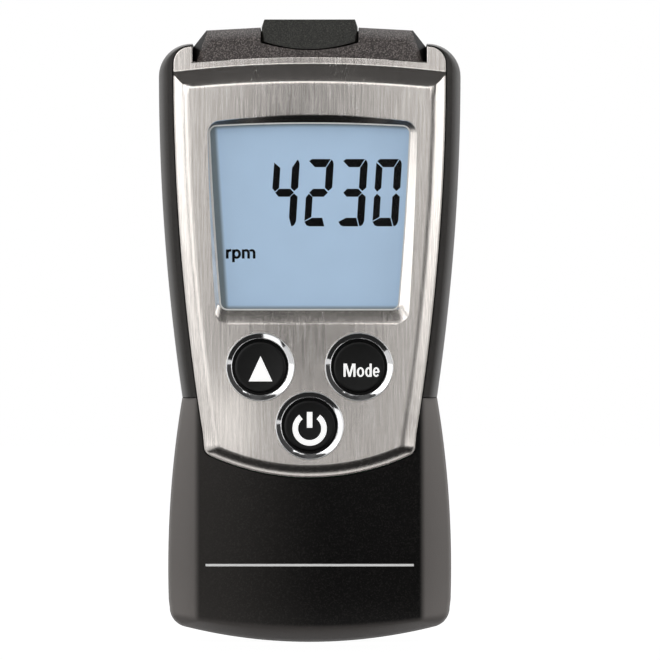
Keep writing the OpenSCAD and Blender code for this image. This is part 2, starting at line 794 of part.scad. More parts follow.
module emitter_lens() {
    color("#d9e4ea") lens(-1);
}

module receiver_lens() {
    color("#d9e4ea") lens(1);
}

// Round diode with its flange and domed tip
module diode(side) {
    at_optic(side, holder_z) union() {
        translate([0, 0, -diode_flange_t / 2]) cylinder(h = diode_flange_t, r = diode_flange_r, $fn = 48);
        cylinder(h = diode_h - diode_r, r = diode_r, $fn = 48);
        translate([0, 0, diode_h - diode_r]) sphere(r = diode_r, $fn = 48);
    }
}

module emitter_diode() {
    color("#c33a32") diode(-1);
}

module receiver_diode() {
    color("#26262e") diode(1);
}

module sensor_board() {
    color("#1f6b45") difference() {
        block([-sensor_board_w / 2, sensor_board_y0, holder_z - diode_flange_t / 2 - sensor_board_t],
            [sensor_board_w / 2, sensor_board_y1, holder_z - diode_flange_t / 2]);
        sensor_pin_places() cylinder(h = 2 * total_h, r = pin_r + thread_gap, center = true, $fn = 24);
    }
}

// Children at each of the pins that join the two boards
module sensor_pin_places() {
    for (i = [0:pin_count - 1])
        translate([(i - (pin_count - 1) / 2) * pin_pitch, pin_y, 0]) children();
}

module sensor_pins() {
    pin_top_z = holder_z - diode_flange_t / 2 + pin_rise;
    color("#d2b55b") sensor_pin_places() union() {
        translate([0, 0, pin_foot_z]) cylinder(h = pin_top_z - pin_foot_z, r = pin_r, $fn = 24);
        block([-pin_r, board_back_y - pin_y, pin_foot_z], [pin_r, pin_r, pin_foot_z + 2 * pin_r]);
    }
}

module display_window() {
    color([0.85, 0.9, 0.95, 0.4]) glass(window_y, window_y + window_t, 0);
}

module display_gasket() {
    color("#222222") difference() {
        glass(gasket_y, gasket_y + gasket_t, 0);
        glass(gasket_y - over, gasket_y + gasket_t + over, gasket_w);
    }
}

module lcd_panel() {
    color("#a4bdd6") glass(lcd_y, lcd_y + lcd_t, 0);
}

module lcd_backlight() {
    color("#e8ecf0") glass(light_y, light_y + backlight_t, strip_h + fit);
}

module lcd_frame() {
    color("#d9d6cf") difference() {
        glass(gasket_y, frame_back_y, -fit - lcd_frame_wall);
        glass(gasket_y - over, light_y, -fit);
        glass(light_y - over, frame_back_y - lcd_frame_t, strip_h);
        // Slots that let the connector strips through
        connector_strip(fit, frame_back_y + over);
        // Room for the screws of the metal face
        on_both_sides() bar(post_x, post_high_z, post_r + fit, gasket_y - over, frame_back_y + over);
    }
}

// One pair of connector strips along the glass's upper and lower edges
module connector_strip(gap, end_y) {
    half = glass_top_half * strip_len_share;
    for (z = [glass_foot_z, glass_top_z - strip_h])
        block([-half - gap, light_y, z - gap + fit / 2], [half + gap, end_y, z + strip_h + gap - fit / 2]);
}

module display_connector_strips() {
    color("#c8c3bb") connector_strip(0, board_y);
}

module main_board() {
    color("#1f6b45") difference() {
        block([-board_half, board_y, board_foot_z], [board_half, board_back_y, board_top_z]);
        on_both_sides() bar(post_x, post_high_z, post_r + 2 * fit, board_y - over, board_back_y + over);
        on_both_sides() for (z = [board_low_z, board_high_z])
            bar(board_post_x, z, board_screw_r + thread_gap, board_y - over, board_back_y + over);
    }
}

module controller_chip() {
    color("#1a1a1c") translate([chip_x, 0, chip_z])
        block([-chip_w / 2, board_back_y + part_lift, -chip_w / 2],
            [chip_w / 2, board_back_y + chip_t, chip_w / 2]);
}

module quartz_crystal() {
    color("#c9cacc") translate([0, board_back_y + crystal_w / 2 + part_lift, crystal_z]) rotate([0, 90, 0])
        cylinder(h = crystal_l, r = crystal_w / 2, center = true, $fn = 48);
}

module board_screws() {
    color("#b8b8ba") on_both_sides() for (z = [board_low_z, board_high_z]) {
        bar(board_post_x, z, board_head_r, board_y - board_head_t, board_y);
        bar(board_post_x, z, board_screw_r, board_y - board_head_t / 2, board_back_y + board_screw_l - fit);
    }
}

module keypad_mat() {
    color("#4d4f52") difference() {
        union() {
            block([-mat_margin - button_x, board_y - mat_t, power_z - mat_margin],
                [mat_margin + button_x, board_y, button_z + mat_margin]);
            for (b = button_places()) bar(b[0], b[1], mat_hole_r + collar_t, collar_y, board_y - mat_t / 2);
        }
        for (b = button_places()) bar(b[0], b[1], mat_hole_r, collar_y - over, board_y + over);
    }
}

module snap_domes() {
    color("#cfcfd2") for (b = button_places()) translate([b[0], board_y, b[1]]) rotate([90, 0, 0])
        cylinder(h = dome_t, r1 = dome_r, r2 = dome_r / 2, $fn = 48);
}

// Key: dished cap, flange behind the ring and plunger above the dome
module button(x, z) {
    cap_y = ring_y + cap_sunk;
    difference() {
        union() {
            bar(x, z, cap_r, cap_y, flange_y + flange_t / 2);
            bar(x, z, flange_r, flange_y, flange_back_y);
            bar(x, z, plunger_r, flange_back_y - flange_t / 2, plunger_end_y);
        }
        translate([x, cap_y + fit - cap_dish_r, z]) sphere(r = cap_dish_r, $fn = 96);
    }
}

module up_button() {
    color("#141414") button(-button_x, button_z);
}

module mode_button() {
    color("#141414") button(button_x, button_z);
}

module power_button() {
    color("#141414") button(0, power_z);
}

// Chrome ring: rounded bead on the face and a sleeve through it
module ring(x, z) {
    inner_r = cap_r + button_gap;
    translate([x, 0, z]) rotate([90, 0, 0]) rotate_extrude($fn = 96) polygon(concat(
        [[inner_r, -sleeve_end_y], [sleeve_r, -sleeve_end_y], [sleeve_r, -face_y]],
        [for (i = [0:6]) let (a = 180 * i / 6)
            [(ring_r + inner_r) / 2 + (ring_r - inner_r) / 2 * cos(a), -face_y + ring_proud * sin(a)]]));
}

module up_button_ring() {
    color("#dcdcde") ring(-button_x, button_z);
}

module mode_button_ring() {
    color("#dcdcde") ring(button_x, button_z);
}

module power_button_ring() {
    color("#dcdcde") ring(0, power_z);
}

// Cell with its raised pole at the top of its own axis
module cell() {
    cylinder(h = cell_l - nub_h, r = cell_r, $fn = 64);
    translate([0, 0, cell_l - nub_h - over / 2]) cylinder(h = nub_h + over / 2, r = nub_r, $fn = 48);
}

// Children turned over about the bay's middle height
module turned_over() {
    translate([0, 0, 2 * bay_z + bay_l]) mirror([0, 0, 1]) children();
}

module battery_1() {
    color("#3d6f8e") translate([-cell_x, cell_y, cell_z]) cell();
}

module battery_2() {
    color("#3d6f8e") turned_over() translate([cell_x, cell_y, cell_z]) cell();
}

// Conical contact spring as one wound wire, narrow end up
module spring(x, z0, z1) {
    count = spring_turns * spring_steps;
    pts = [for (i = [0:count]) let (a = 360 * i / spring_steps, t = i / count,
            r = spring_r + (spring_tip_r - spring_r) * t)
        for (k = [0:spring_sides - 1]) let (b = 360 * k / spring_sides)
            [(r + spring_wire_r * cos(b)) * cos(a), (r + spring_wire_r * cos(b)) * sin(a),
                z0 + (z1 - z0) * t + spring_wire_r * sin(b)]];
    translate([x, cell_y, 0]) polyhedron(points = pts, convexity = 8, faces = concat(
        [[for (k = [0:spring_sides - 1]) k]],
        [[for (k = [spring_sides - 1:-1:0]) count * spring_sides + k]],
        [for (i = [0:count - 1]) for (k = [0:spring_sides - 1]) let (a = i * spring_sides,
                b = a + spring_sides, m = (k + 1) % spring_sides)
            [a + k, b + k, b + m]],
        [for (i = [0:count - 1]) for (k = [0:spring_sides - 1]) let (a = i * spring_sides,
                b = a + spring_sides, m = (k + 1) % spring_sides)
            [a + k, b + m, a + m]]));
}

module battery_springs() {
    lift = spring_wire_r + part_lift;
    color("#c4c6c8") {
        spring(-cell_x, bay_z + contact_t + lift, cell_z - lift);
        turned_over() spring(cell_x, bay_z + contact_t + lift, cell_z - lift);
    }
}

module battery_contacts() {
    half = cell_r * contact_share;
    color("#d0c9a8") {
        // Plate that joins the two cells at the foot
        block([-cell_x - half, cell_y - half, bay_z], [cell_x + half, cell_y + half, bay_z + contact_t]);
        on_both_sides() block([cell_x - half, cell_y - half, bay_top_z - contact_t],
            [cell_x + half, cell_y + half, bay_top_z]);
    }
}

// Height of a side tab's upper end
function tab_z(i) = door_foot_z + (door_top_z - door_foot_z) * (i + 0.5) / door_tabs;

// Side tab under the land, grown by a gap, drawn down by a travel and outward by a rise
module door_tab(i, gap, travel, rise = 0) {
    block([bay_mouth_half - bay_wall, door_in_y - door_land_t - 2 * gap - door_tab_t,
            tab_z(i) - door_tab_w - gap - travel],
        [bay_mouth_half + door_tab_out + gap, door_in_y - door_land_t - gap + rise, tab_z(i) + gap]);
}

module battery_cover() {
    color("#1c1a19") difference() {
        union() {
            intersection() {
                block([-door_w / 2, door_in_y, door_foot_z], [door_w / 2, back_y, door_top_z]);
                loft([for (i = [-1:round_steps]) let (a = 90 * max(0, i) / round_steps)
                    [i < 0 ? 0 : back_y - back_round_r * (1 - sin(a)),
                        body_outline(back_round_r * (1 - cos(a)))]]);
            }
            // Legs and tabs that hook under the land
            for (i = [0:door_tabs - 1]) on_both_sides() {
                translate([0, -door_gap, 0]) door_tab(i, 0, 0);
                block([bay_mouth_half - bay_wall, door_in_y - door_land_t - door_tab_t - door_gap,
                        tab_z(i) - door_tab_w],
                    [bay_mouth_half - door_gap, door_in_y + door_t / 2, tab_z(i)]);
            }
        }
        // Grip grooves
        for (i = [0:grip_ribs - 1])
            block([-grip_w / 2, back_y - grip_sunk, grip_z(i)],
                [grip_w / 2, back_y + over, grip_z(i) + grip_t]);
    }
}

// Height of a grip groove
function grip_z(i) = door_foot_z + (door_top_z - door_foot_z) * grip_z_share - i * grip_pitch;

module housing_screws() {
    head_y0 = back_y - counterbore_d;
    color("#6e6e70") on_both_sides() for (z = [post_low_z, post_high_z]) difference() {
        union() {
            bar(post_x, z, screw_head_r, head_y0, head_y0 + screw_head_t);
            bar(post_x, z, screw_r, parting_y - screw_bite, head_y0 + screw_head_t / 2);
        }
        // Cross recess
        for (a = [0, 90]) translate([post_x, head_y0 + screw_head_t, z]) rotate([0, a, 0])
            cube([2 * screw_slot_r, 2 * screw_slot_d, screw_slot_r / 2], center = true);
    }
}

rear_housing();
lower_front_cover();
front_plate();
sensor_head();
sensor_shroud();
sensor_window();
optics_holder();
emitter_lens();
receiver_lens();
emitter_diode();
receiver_diode();
sensor_board();
sensor_pins();
display_window();
display_gasket();
lcd_panel();
lcd_backlight();
lcd_frame();
display_connector_strips();
main_board();
controller_chip();
quartz_crystal();
board_screws();
keypad_mat();
snap_domes();
up_button();
mode_button();
power_button();
up_button_ring();
mode_button_ring();
power_button_ring();
battery_1();
battery_2();
battery_springs();
battery_contacts();
battery_cover();
housing_screws();
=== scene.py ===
"""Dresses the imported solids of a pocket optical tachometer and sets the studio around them.

Shapes are worked out in millimetres, upright: x to the right, y away from the display,
z from the foot to the sensor head. They become metres when a shape is turned into an object.
"""
import logging
import math
from dataclasses import dataclass, field
from enum import Enum
from typing import Callable, ClassVar, Sequence

import bmesh
import bpy
from mathutils import Matrix, Vector


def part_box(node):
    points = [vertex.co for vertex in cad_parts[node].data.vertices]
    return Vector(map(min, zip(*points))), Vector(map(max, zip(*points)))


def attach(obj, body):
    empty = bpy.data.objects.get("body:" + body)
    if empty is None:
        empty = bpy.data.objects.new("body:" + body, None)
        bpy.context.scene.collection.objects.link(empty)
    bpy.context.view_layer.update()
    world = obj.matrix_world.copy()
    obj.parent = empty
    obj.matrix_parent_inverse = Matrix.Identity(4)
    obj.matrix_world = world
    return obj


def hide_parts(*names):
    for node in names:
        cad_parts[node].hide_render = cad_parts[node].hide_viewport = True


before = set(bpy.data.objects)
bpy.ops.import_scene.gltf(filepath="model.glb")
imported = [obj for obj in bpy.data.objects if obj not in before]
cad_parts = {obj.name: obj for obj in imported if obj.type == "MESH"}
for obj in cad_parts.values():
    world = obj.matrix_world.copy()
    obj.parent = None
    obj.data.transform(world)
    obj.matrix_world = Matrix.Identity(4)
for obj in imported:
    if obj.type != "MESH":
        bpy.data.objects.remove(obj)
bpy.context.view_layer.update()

log = logging.getLogger("tachometer")

MM = 0.001
MERGE = 1e-4  # points closer than this, in millimetres, are one
OVER = 1  # how far a cutting shape reaches past what it cuts, in millimetres
ROOT = "housing"

Point = tuple[float, float]
Outline = list[Point]
Section = tuple[float, Outline]
Colour = tuple[float, float, float]


class Carving(Enum):
    """Ways in which one shape changes another."""

    CUT = "DIFFERENCE"
    JOIN = "UNION"
    KEEP = "INTERSECT"


class Sign(Enum):
    """What is printed on a key."""

    UP = "up"
    MODE = "mode"
    POWER = "power"


# ---------------------------------------------------------------- outlines


def turns(start: float, end: float, steps: int, first: int = 0) -> list[float]:
    """Angles in radians, in even steps from one angle in degrees to another."""
    return [math.radians(start + (end - start) * i / steps) for i in range(first, steps + 1)]


def shares(steps: int, first: int = 0) -> list[float]:
    """Shares from 0 to 1 in even steps."""
    return [i / steps for i in range(first, steps + 1)]


def arc(centre: Point, radius: float, start: float, end: float, steps: int,
        first: int = 0) -> Outline:
    """Points along an arc between two angles in degrees; first=1 leaves out the first."""
    return [(centre[0] + radius * math.cos(a), centre[1] + radius * math.sin(a))
            for a in turns(start, end, steps, first)]


def foot_run(foot: float, arc_radius: float, corner: float, wall_x: float,
             steps: int = 14) -> Outline:
    """Bowed lower edge and its rounded corner, from the middle line to the side wall.

    Args:
        foot: Height of the lowest point.
        arc_radius: Radius of the bowed edge.
        corner: Radius of the corner.
        wall_x: Half width at the side wall.
        steps: Number of steps in each stretch.

    Returns:
        The points from the middle line outwards.
    """
    rise = math.sqrt((arc_radius - corner) ** 2 - (wall_x - corner) ** 2)
    centre_z = foot + arc_radius - rise
    meet = math.degrees(math.atan2(-rise, wall_x - corner))
    return (arc((0, foot + arc_radius), arc_radius, -90, meet, steps)
            + arc((wall_x - corner, centre_z), corner, meet, 0, steps, 1))


def side_run(half_width: Callable[[float], float], inset: float, start: float, end: float,
             steps: int) -> Outline:
    """Points up a side wall, drawn in by an inset, whose half width depends on the height."""
    heights = [start + (end - start) * t for t in shares(steps, 1)]
    return [(half_width(z) - inset, z) for z in heights]


def both_sides(half: Outline) -> Outline:
    """Closes a right half, which runs from the foot to the top, with its mirror image."""
    return half + [(-x, z) for x, z in reversed(half) if x > 1e-3]


def between(first: Outline, second: Outline, share: float) -> Outline:
    """Outline a share of the way from one outline to another of as many points."""
    return [(a[0] + (b[0] - a[0]) * share, a[1] + (b[1] - a[1]) * share)
            for a, b in zip(first, second)]


def scaled(colour: Colour, factor: float) -> Colour:
    """A colour made lighter or darker by a factor."""
    return tuple(factor * c for c in colour)


# ---------------------------------------------------------------- shapes


class Shape:
    """A mesh under construction, in millimetres."""

    def __init__(self) -> None:
        """Starts an empty mesh."""
        self.bm = bmesh.new()

    def loft(self, sections: Sequence[Section]) -> "Shape":
        """Adds a closed solid through outlines of as many points at given depths.

        Args:
            sections: Depth and outline of each section, front first.

        Returns:
            This shape.
        """
        loops = [[self.bm.verts.new((x, depth, z)) for x, z in outline]
                 for depth, outline in sections]
        for near, far in zip(loops, loops[1:]):
            for a, b, c, d in zip(near, near[1:] + near[:1], far[1:] + far[:1], far):
                self.bm.faces.new((a, b, c, d))
        for end in (loops[0], loops[-1]):
            self.bm.faces.new(end)
        return self.outward()

    def slab(self, front: float, back: float, outline: Outline) -> "Shape":
        """Adds a flat slab of an outline between two depths."""
        return self.loft([(front, outline), (back, outline)])

    def box(self, low: Sequence[float], high: Sequence[float]) -> "Shape":
        """Adds a box between two corners.

        Args:
            low: Its lowest corner.
            high: Its highest corner.

        Returns:
            This shape.
        """
        size = [b - a for a, b in zip(low, high)]
        middle = [(a + b) / 2 for a, b in zip(low, high)]
        bmesh.ops.create_cube(self.bm, size=1,
                              matrix=Matrix.Translation(middle) @ Matrix.Diagonal((*size, 1)))
        return self

    def turned(self, profile: Sequence[Point], centre: Point, steps: int = 96,
               closed: bool = False) -> "Shape":
        """Adds a body turned about an axis along the depth.

        Args:
            profile: Radius and depth of each point.
            centre: x and z of the axis.
            steps: Number of steps round the axis.
            closed: Whether the profile is a closed line clear of the axis.

        Returns:
            This shape.
        """
        line = [self.bm.verts.new((centre[0] + r, y, centre[1])) for r, y in profile]
        pairs = list(zip(line, line[1:])) + ([(line[-1], line[0])] if closed else [])
        edges = [self.bm.edges.new(pair) for pair in pairs]
        bmesh.ops.spin(self.bm, geom=line + edges, cent=(centre[0], 0, centre[1]),
                       axis=(0, 1, 0), angle=math.tau, steps=steps, use_merge=True,
                       use_duplicate=False)
        bmesh.ops.remove_doubles(self.bm, verts=self.bm.verts, dist=MERGE)
        return self.outward()

    def outward(self) -> "Shape":
        """Turns every face outwards."""
        bmesh.ops.recalc_face_normals(self.bm, faces=self.bm.faces)
        return self

    def mirrored(self) -> "Shape":
        """Adds the mirror image across the middle plane.

        Returns:
            This shape.
        """
        copy = bmesh.ops.duplicate(self.bm, geom=self.bm.verts[:] + self.bm.edges[:]
                                   + self.bm.faces[:])["geom"]
        verts = [item for item in copy if isinstance(item, bmesh.types.BMVert)]
        bmesh.ops.scale(self.bm, vec=(-1, 1, 1), verts=verts)
        return self.outward()

    def carve(self, *tools: "Shape", how: Carving = Carving.CUT) -> "Shape":
        """Cuts, joins or intersects this shape with others, one after the other.

        Args:
            tools: The other shapes, which are used up.
            how: What is done with them.

        Returns:
            This shape.
        """
        for tool in tools:
            body, other = self.as_object("body"), tool.as_object("tool")
            step = body.modifiers.new("carve", "BOOLEAN")
            step.solver = "EXACT"
            step.operation = how.value
            step.object = other
            cut = body.evaluated_get(bpy.context.evaluated_depsgraph_get())
            self.bm = bmesh.new()
            self.bm.from_mesh(cut.to_mesh())
            cut.to_mesh_clear()
            for scrap in (body, other):
                mesh = scrap.data
                bpy.data.objects.remove(scrap)
                bpy.data.meshes.remove(mesh)
        return self

    def trim_above(self, height: float) -> "Shape":
        """Cuts away everything above a height and closes the cut.

        Args:
            height: Height of the cut.

        Returns:
            This shape.
        """
        cut = bmesh.ops.bisect_plane(
            self.bm, geom=self.bm.verts[:] + self.bm.edges[:] + self.bm.faces[:], dist=MERGE,
            plane_co=(0, 0, height), plane_no=(0, 0, 1), clear_outer=True)["geom_cut"]
        bmesh.ops.edgeloop_fill(
            self.bm, edges=[item for item in cut if isinstance(item, bmesh.types.BMEdge)])
        return self.outward()

    def as_object(self, name: str) -> bpy.types.Object:
        """Turns the mesh, as it stands, into a linked object.

        Args:
            name: The object's name.

        Returns:
            The object.
        """
        mesh = bpy.data.meshes.new(name)
        self.bm.to_mesh(mesh)
        self.bm.free()
        piece = bpy.data.objects.new(name, mesh)
        bpy.context.scene.collection.objects.link(piece)
        return piece

    def finish(self, name: str, finish: "Finish", body: str = ROOT, sharp: float = 32,
               rim: float = 0, replaces: Sequence[str] = ()) -> bpy.types.Object:
        """Turns the shape into a dressed piece in metres.

        Args:
            name: The piece's name.
            finish: What its surface is made of.
            body: The body that it rides on.
            sharp: Angle in degrees from which an edge is shaded sharp.
            rim: Width of the small round on sharp edges, or 0.
            replaces: CAD nodes that the piece stands for.

        Returns:
            The object.
        """
        bmesh.ops.remove_doubles(self.bm, verts=self.bm.verts, dist=MERGE)
        if rim:
            edges = [e for e in self.bm.edges if len(e.link_faces) == 2
                     and e.calc_face_angle(0) > math.radians(sharp)]
            bmesh.ops.bevel(self.bm, geom=edges, offset=rim, offset_type="OFFSET", segments=2,
                            profile=0.5, affect="EDGES", material=-1, clamp_overlap=True)
        for face in self.bm.faces:
            face.smooth = True
        for edge in self.bm.edges:
            edge.smooth = edge.calc_face_angle(0) < math.radians(sharp)
        bmesh.ops.scale(self.bm, vec=(MM, MM, MM), verts=self.bm.verts)
        piece = self.as_object(name)
        weigh = piece.modifiers.new("even_normals", "WEIGHTED_NORMAL")
        weigh.mode = "FACE_AREA"
        weigh.weight = 100
        weigh.keep_sharp = True
        return dress(piece, finish, body, replaces)


def dress(piece: bpy.types.Object, finish: "Finish", body: str = ROOT,
          replaces: Sequence[str] = ()) -> bpy.types.Object:
    """Gives a piece its material, its body and the nodes that it stands for.

    Args:
        piece: The object.
        finish: What its surface is made of.
        body: The body that it rides on.
        replaces: CAD nodes that the piece stands for.

    Returns:
        The same object.
    """
    piece.data.materials.clear()
    piece.data.materials.append(finish.material())
    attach(piece, body)
    if replaces:
        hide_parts(*replaces)
    log.info("%s: %d faces on %s", piece.name, len(piece.data.polygons), body)
    return piece


# ---------------------------------------------------------------- shader graph


class Value:
    """A number socket that takes part in Python expressions."""

    def __init__(self, graph: "Graph", socket: bpy.types.NodeSocket) -> None:
        """Wraps a socket of a graph."""
        self.graph = graph
        self.socket = socket

    def maths(self, operation: str, *values: "Value | float") -> "Value":
        """Adds a Math node on the given values.

        Args:
            operation: What the node works out.
            *values: Its operands in order.

        Returns:
            The result.
        """
        node = self.graph.node("ShaderNodeMath", {"operation": operation},
                               dict(enumerate(values)))
        return Value(self.graph, node.outputs[0])

    def __add__(self, other: "Value | float") -> "Value":
        """Sum."""
        return self.maths("ADD", self, other)

    def __sub__(self, other: "Value | float") -> "Value":
        """Difference."""
        return self.maths("SUBTRACT", self, other)

    def __rsub__(self, other: float) -> "Value":
        """A plain number minus this value."""
        return self.maths("SUBTRACT", other, self)

    def __mul__(self, other: "Value | float") -> "Value":
        """Product."""
        return self.maths("MULTIPLY", self, other)

    def __neg__(self) -> "Value":
        """The value with its sign turned."""
        return self * -1.0

    def __abs__(self) -> "Value":
        """The value without its sign."""
        return self.maths("ABSOLUTE", self)

    __radd__ = __add__
    __rmul__ = __mul__

    def above(self, edge: float, width: float) -> "Value":
        """Ramps from 0 to 1 around an edge.

        Args:
            edge: The value at the middle of the ramp.
            width: The ramp's width.

        Returns:
            The ramped value.
        """
        node = self.graph.node("ShaderNodeMapRange", {"interpolation_type": "SMOOTHSTEP"}, {
            "Value": self, "From Min": edge - width / 2, "From Max": edge + width / 2})
        return Value(self.graph, node.outputs[0])


class Graph:
    """A material's or world's node tree under construction."""

    def __init__(self, tree: bpy.types.NodeTree) -> None:
        """Clears the tree."""
        self.tree = tree
        tree.nodes.clear()

    def node(self, kind: str, settings: dict | None = None,
             inputs: dict | None = None) -> bpy.types.Node:
        """Adds a node.

        Args:
            kind: The node's type.
            settings: Its settings.
            inputs: Values or links of its sockets, by name or place.

        Returns:
            The node.
        """
        node = self.tree.nodes.new(kind)
        for name, value in (settings or {}).items():
            setattr(node, name, value)
        for name, value in (inputs or {}).items():
            self.feed(node.inputs[name], value)
        return node

    def feed(self, socket: bpy.types.NodeSocket, value: object) -> None:
        """Links a socket, or sets its own value.

        Args:
            socket: The socket.
            value: What it is linked to, or its value.
        """
        if isinstance(value, Value):
            value = value.socket
        if isinstance(value, bpy.types.NodeSocket):
            self.tree.links.new(value, socket)
        elif isinstance(value, tuple) and len(value) == 3 and socket.type == "RGBA":
            socket.default_value = (*value, 1)
        else:
            socket.default_value = value

    def place(self, stretch: Colour = (1, 1, 1)) -> bpy.types.NodeSocket:
        """Object coordinates in millimetres, stretched along each axis.

        Args:
            stretch: How often a pattern repeats along each axis.

        Returns:
            The place's socket.
        """
        here = self.node("ShaderNodeTexCoord").outputs["Object"]
        scale = tuple(s / MM for s in stretch)
        return self.node("ShaderNodeVectorMath", {"operation": "MULTIPLY"},
                         {0: here, 1: scale}).outputs[0]

    def axes(self) -> tuple[Value, Value, Value]:
        """x, y and z of the surface point in millimetres."""
        split = self.node("ShaderNodeSeparateXYZ", inputs={0: self.place()})
        return tuple(Value(self, socket) for socket in split.outputs)

    def noise(self, size: float, detail: float = 2, rough: float = 0.5,
              stretch: Colour = (1, 1, 1)) -> Value:
        """Noise whose features have a given size.

        Args:
            size: Size of a feature in millimetres.
            detail: Number of finer layers.
            rough: Strength of the finer layers.
            stretch: How often the pattern repeats along each axis, against the others.

        Returns:
            The noise, from 0 to 1.
        """
        node = self.node("ShaderNodeTexNoise", {"noise_dimensions": "3D"}, {
            "Vector": self.place(stretch), "Scale": 1 / size, "Detail": detail,
            "Roughness": rough})
        return Value(self, node.outputs["Fac"])

    def mix(self, share: Value | float, first: object, second: object) -> bpy.types.NodeSocket:
        """Colour between two colours.

        Args:
            share: How far towards the second colour.
            first: The colour at share 0.
            second: The colour at share 1.

        Returns:
            The mixed colour's socket.
        """
        node = self.node("ShaderNodeMix", {"data_type": "RGBA"})
        self.feed(node.inputs[0], share)
        self.feed(node.inputs[6], first)
        self.feed(node.inputs[7], second)
        return node.outputs[2]

    def bump(self, height: Value, depth: float) -> bpy.types.NodeSocket:
        """Normal of a relief that is a given number of millimetres deep."""
        return self.node("ShaderNodeBump", inputs={
            "Height": height, "Distance": depth * MM, "Strength": 1.0}).outputs["Normal"]

    def close(self, shader: bpy.types.Node, kind: str = "Material") -> None:
        """Feeds the surface output of a material or a world."""
        self.node(f"ShaderNodeOutput{kind}", inputs={0: shader.outputs[0]})


def new_material(name: str) -> tuple[bpy.types.Material, Graph]:
    """An empty node material and its graph.

    Args:
        name: The material's name.

    Returns:
        The material and its graph.
    """
    material = bpy.data.materials.new(name)
    material.use_nodes = True
    return material, Graph(material.node_tree)


@dataclass(frozen=True)
class Finish:
    """What a surface is made of. Each kind has one material per set of values."""

    slot: str
    colour: Colour
    made: ClassVar[dict["Finish", bpy.types.Material]] = {}

    def material(self) -> bpy.types.Material:
        """The material, made at its first use.

        Returns:
            The material.
        """
        if self not in Finish.made:
            material, graph = new_material(f"{self.slot}_{len(Finish.made)}")
            surface = graph.node("ShaderNodeBsdfPrincipled")
            self.wire(graph, surface)
            graph.close(surface)
            Finish.made[self] = material
        return Finish.made[self]

    def wire(self, graph: Graph, surface: bpy.types.Node) -> None:
        """Feeds the surface shader."""
        raise NotImplementedError

    def feed(self, graph: Graph, surface: bpy.types.Node, **values: object) -> None:
        """Feeds sockets of the surface shader by name, with _ for a blank."""
        for name, value in values.items():
            graph.feed(surface.inputs[name.replace("_", " ")], value)


@dataclass(frozen=True)
class Moulded(Finish):
    """Moulded plastic with a fine spark-eroded grain, bright specks and painted shade on its ends.
    """

    lighter: Colour
    roughness: float = 0.55
    grain: float = 0.22
    relief: float = 0.02
    speck: float = 0.0
    painted_shade_ends: float = 0.0
    painted_shade_ends_draw: float = 0.36

    def wire(self, graph: Graph, surface: bpy.types.Node) -> None:
        """Feeds the surface shader.

        Args:
            graph: The material's graph.
            surface: Its surface shader.
        """
        grain = graph.noise(self.grain, 3, 0.6)
        cloud = graph.noise(9, 2)
        tone = graph.mix(grain.above(0.52, 0.3) * 0.5 + cloud * 0.35, self.colour, self.lighter)
        if self.speck:
            sparks = graph.noise(self.grain * 0.75, 2, 0.6).above(0.57, 0.16)
            tone = graph.mix(sparks * self.speck, tone, scaled(self.lighter, 2.6))
        # painted shade: the far ends, beyond a slanted line, are painted near black
        if self.painted_shade_ends:
            x, _, z = graph.axes()
            tone = graph.mix((abs(x) + z * self.painted_shade_ends_draw).above(self.painted_shade_ends, 0.12), tone,
                             scaled(self.colour, 0.25))
        self.feed(graph, surface, Base_Color=tone, Normal=graph.bump(grain, self.relief),
                  Roughness=grain * 0.18 + (self.roughness - 0.09))


@dataclass(frozen=True)
class Faceted(Finish):
    """Fine-grained dark plastic with painted light: its left side, its side facets and its foot
    facet are painted lighter than its front.
    """

    painted_light: Colour
    facet: Colour
    foot: Colour
    painted_light_x: float = -7.0
    painted_light_width: float = 22.0
    half: float = 17.15
    crease: float = 2.35
    bow: float = 0.0044
    soft: float = 1.1
    edge_y: float = -5.6
    edge_width: float = 2.4
    roughness: float = 0.5
    gloss: float = 0.14

    def wire(self, graph: Graph, surface: bpy.types.Node) -> None:
        """Feeds the surface shader.

        Args:
            graph: The material's graph.
            surface: Its surface shader.
        """
        x, y, z = graph.axes()
        grain = graph.noise(0.2, 3, 0.6)
        # painted light: the left side is painted lighter
        left = (-x).above(-self.painted_light_x, self.painted_light_width)
        tone = graph.mix(left * 0.9 + grain.above(0.58, 0.2) * 0.3, self.colour, self.painted_light)
        # painted light on the side facets, stronger towards the front, and on the foot facet below
        # the crease
        front = (-y).above(-self.edge_y, self.edge_width)
        sides = abs(x).above(self.half, self.soft) * (0.3 + front * 0.7)
        below = (x * x * self.bow - z).above(-self.crease, self.soft)
        tone = graph.mix(below, graph.mix(sides, tone, self.facet), self.foot)
        self.feed(graph, surface, Base_Color=tone, Specular_IOR_Level=self.gloss,
                  Roughness=grain * 0.16 + (self.roughness - 0.08),
                  Normal=graph.bump(grain, 0.03))


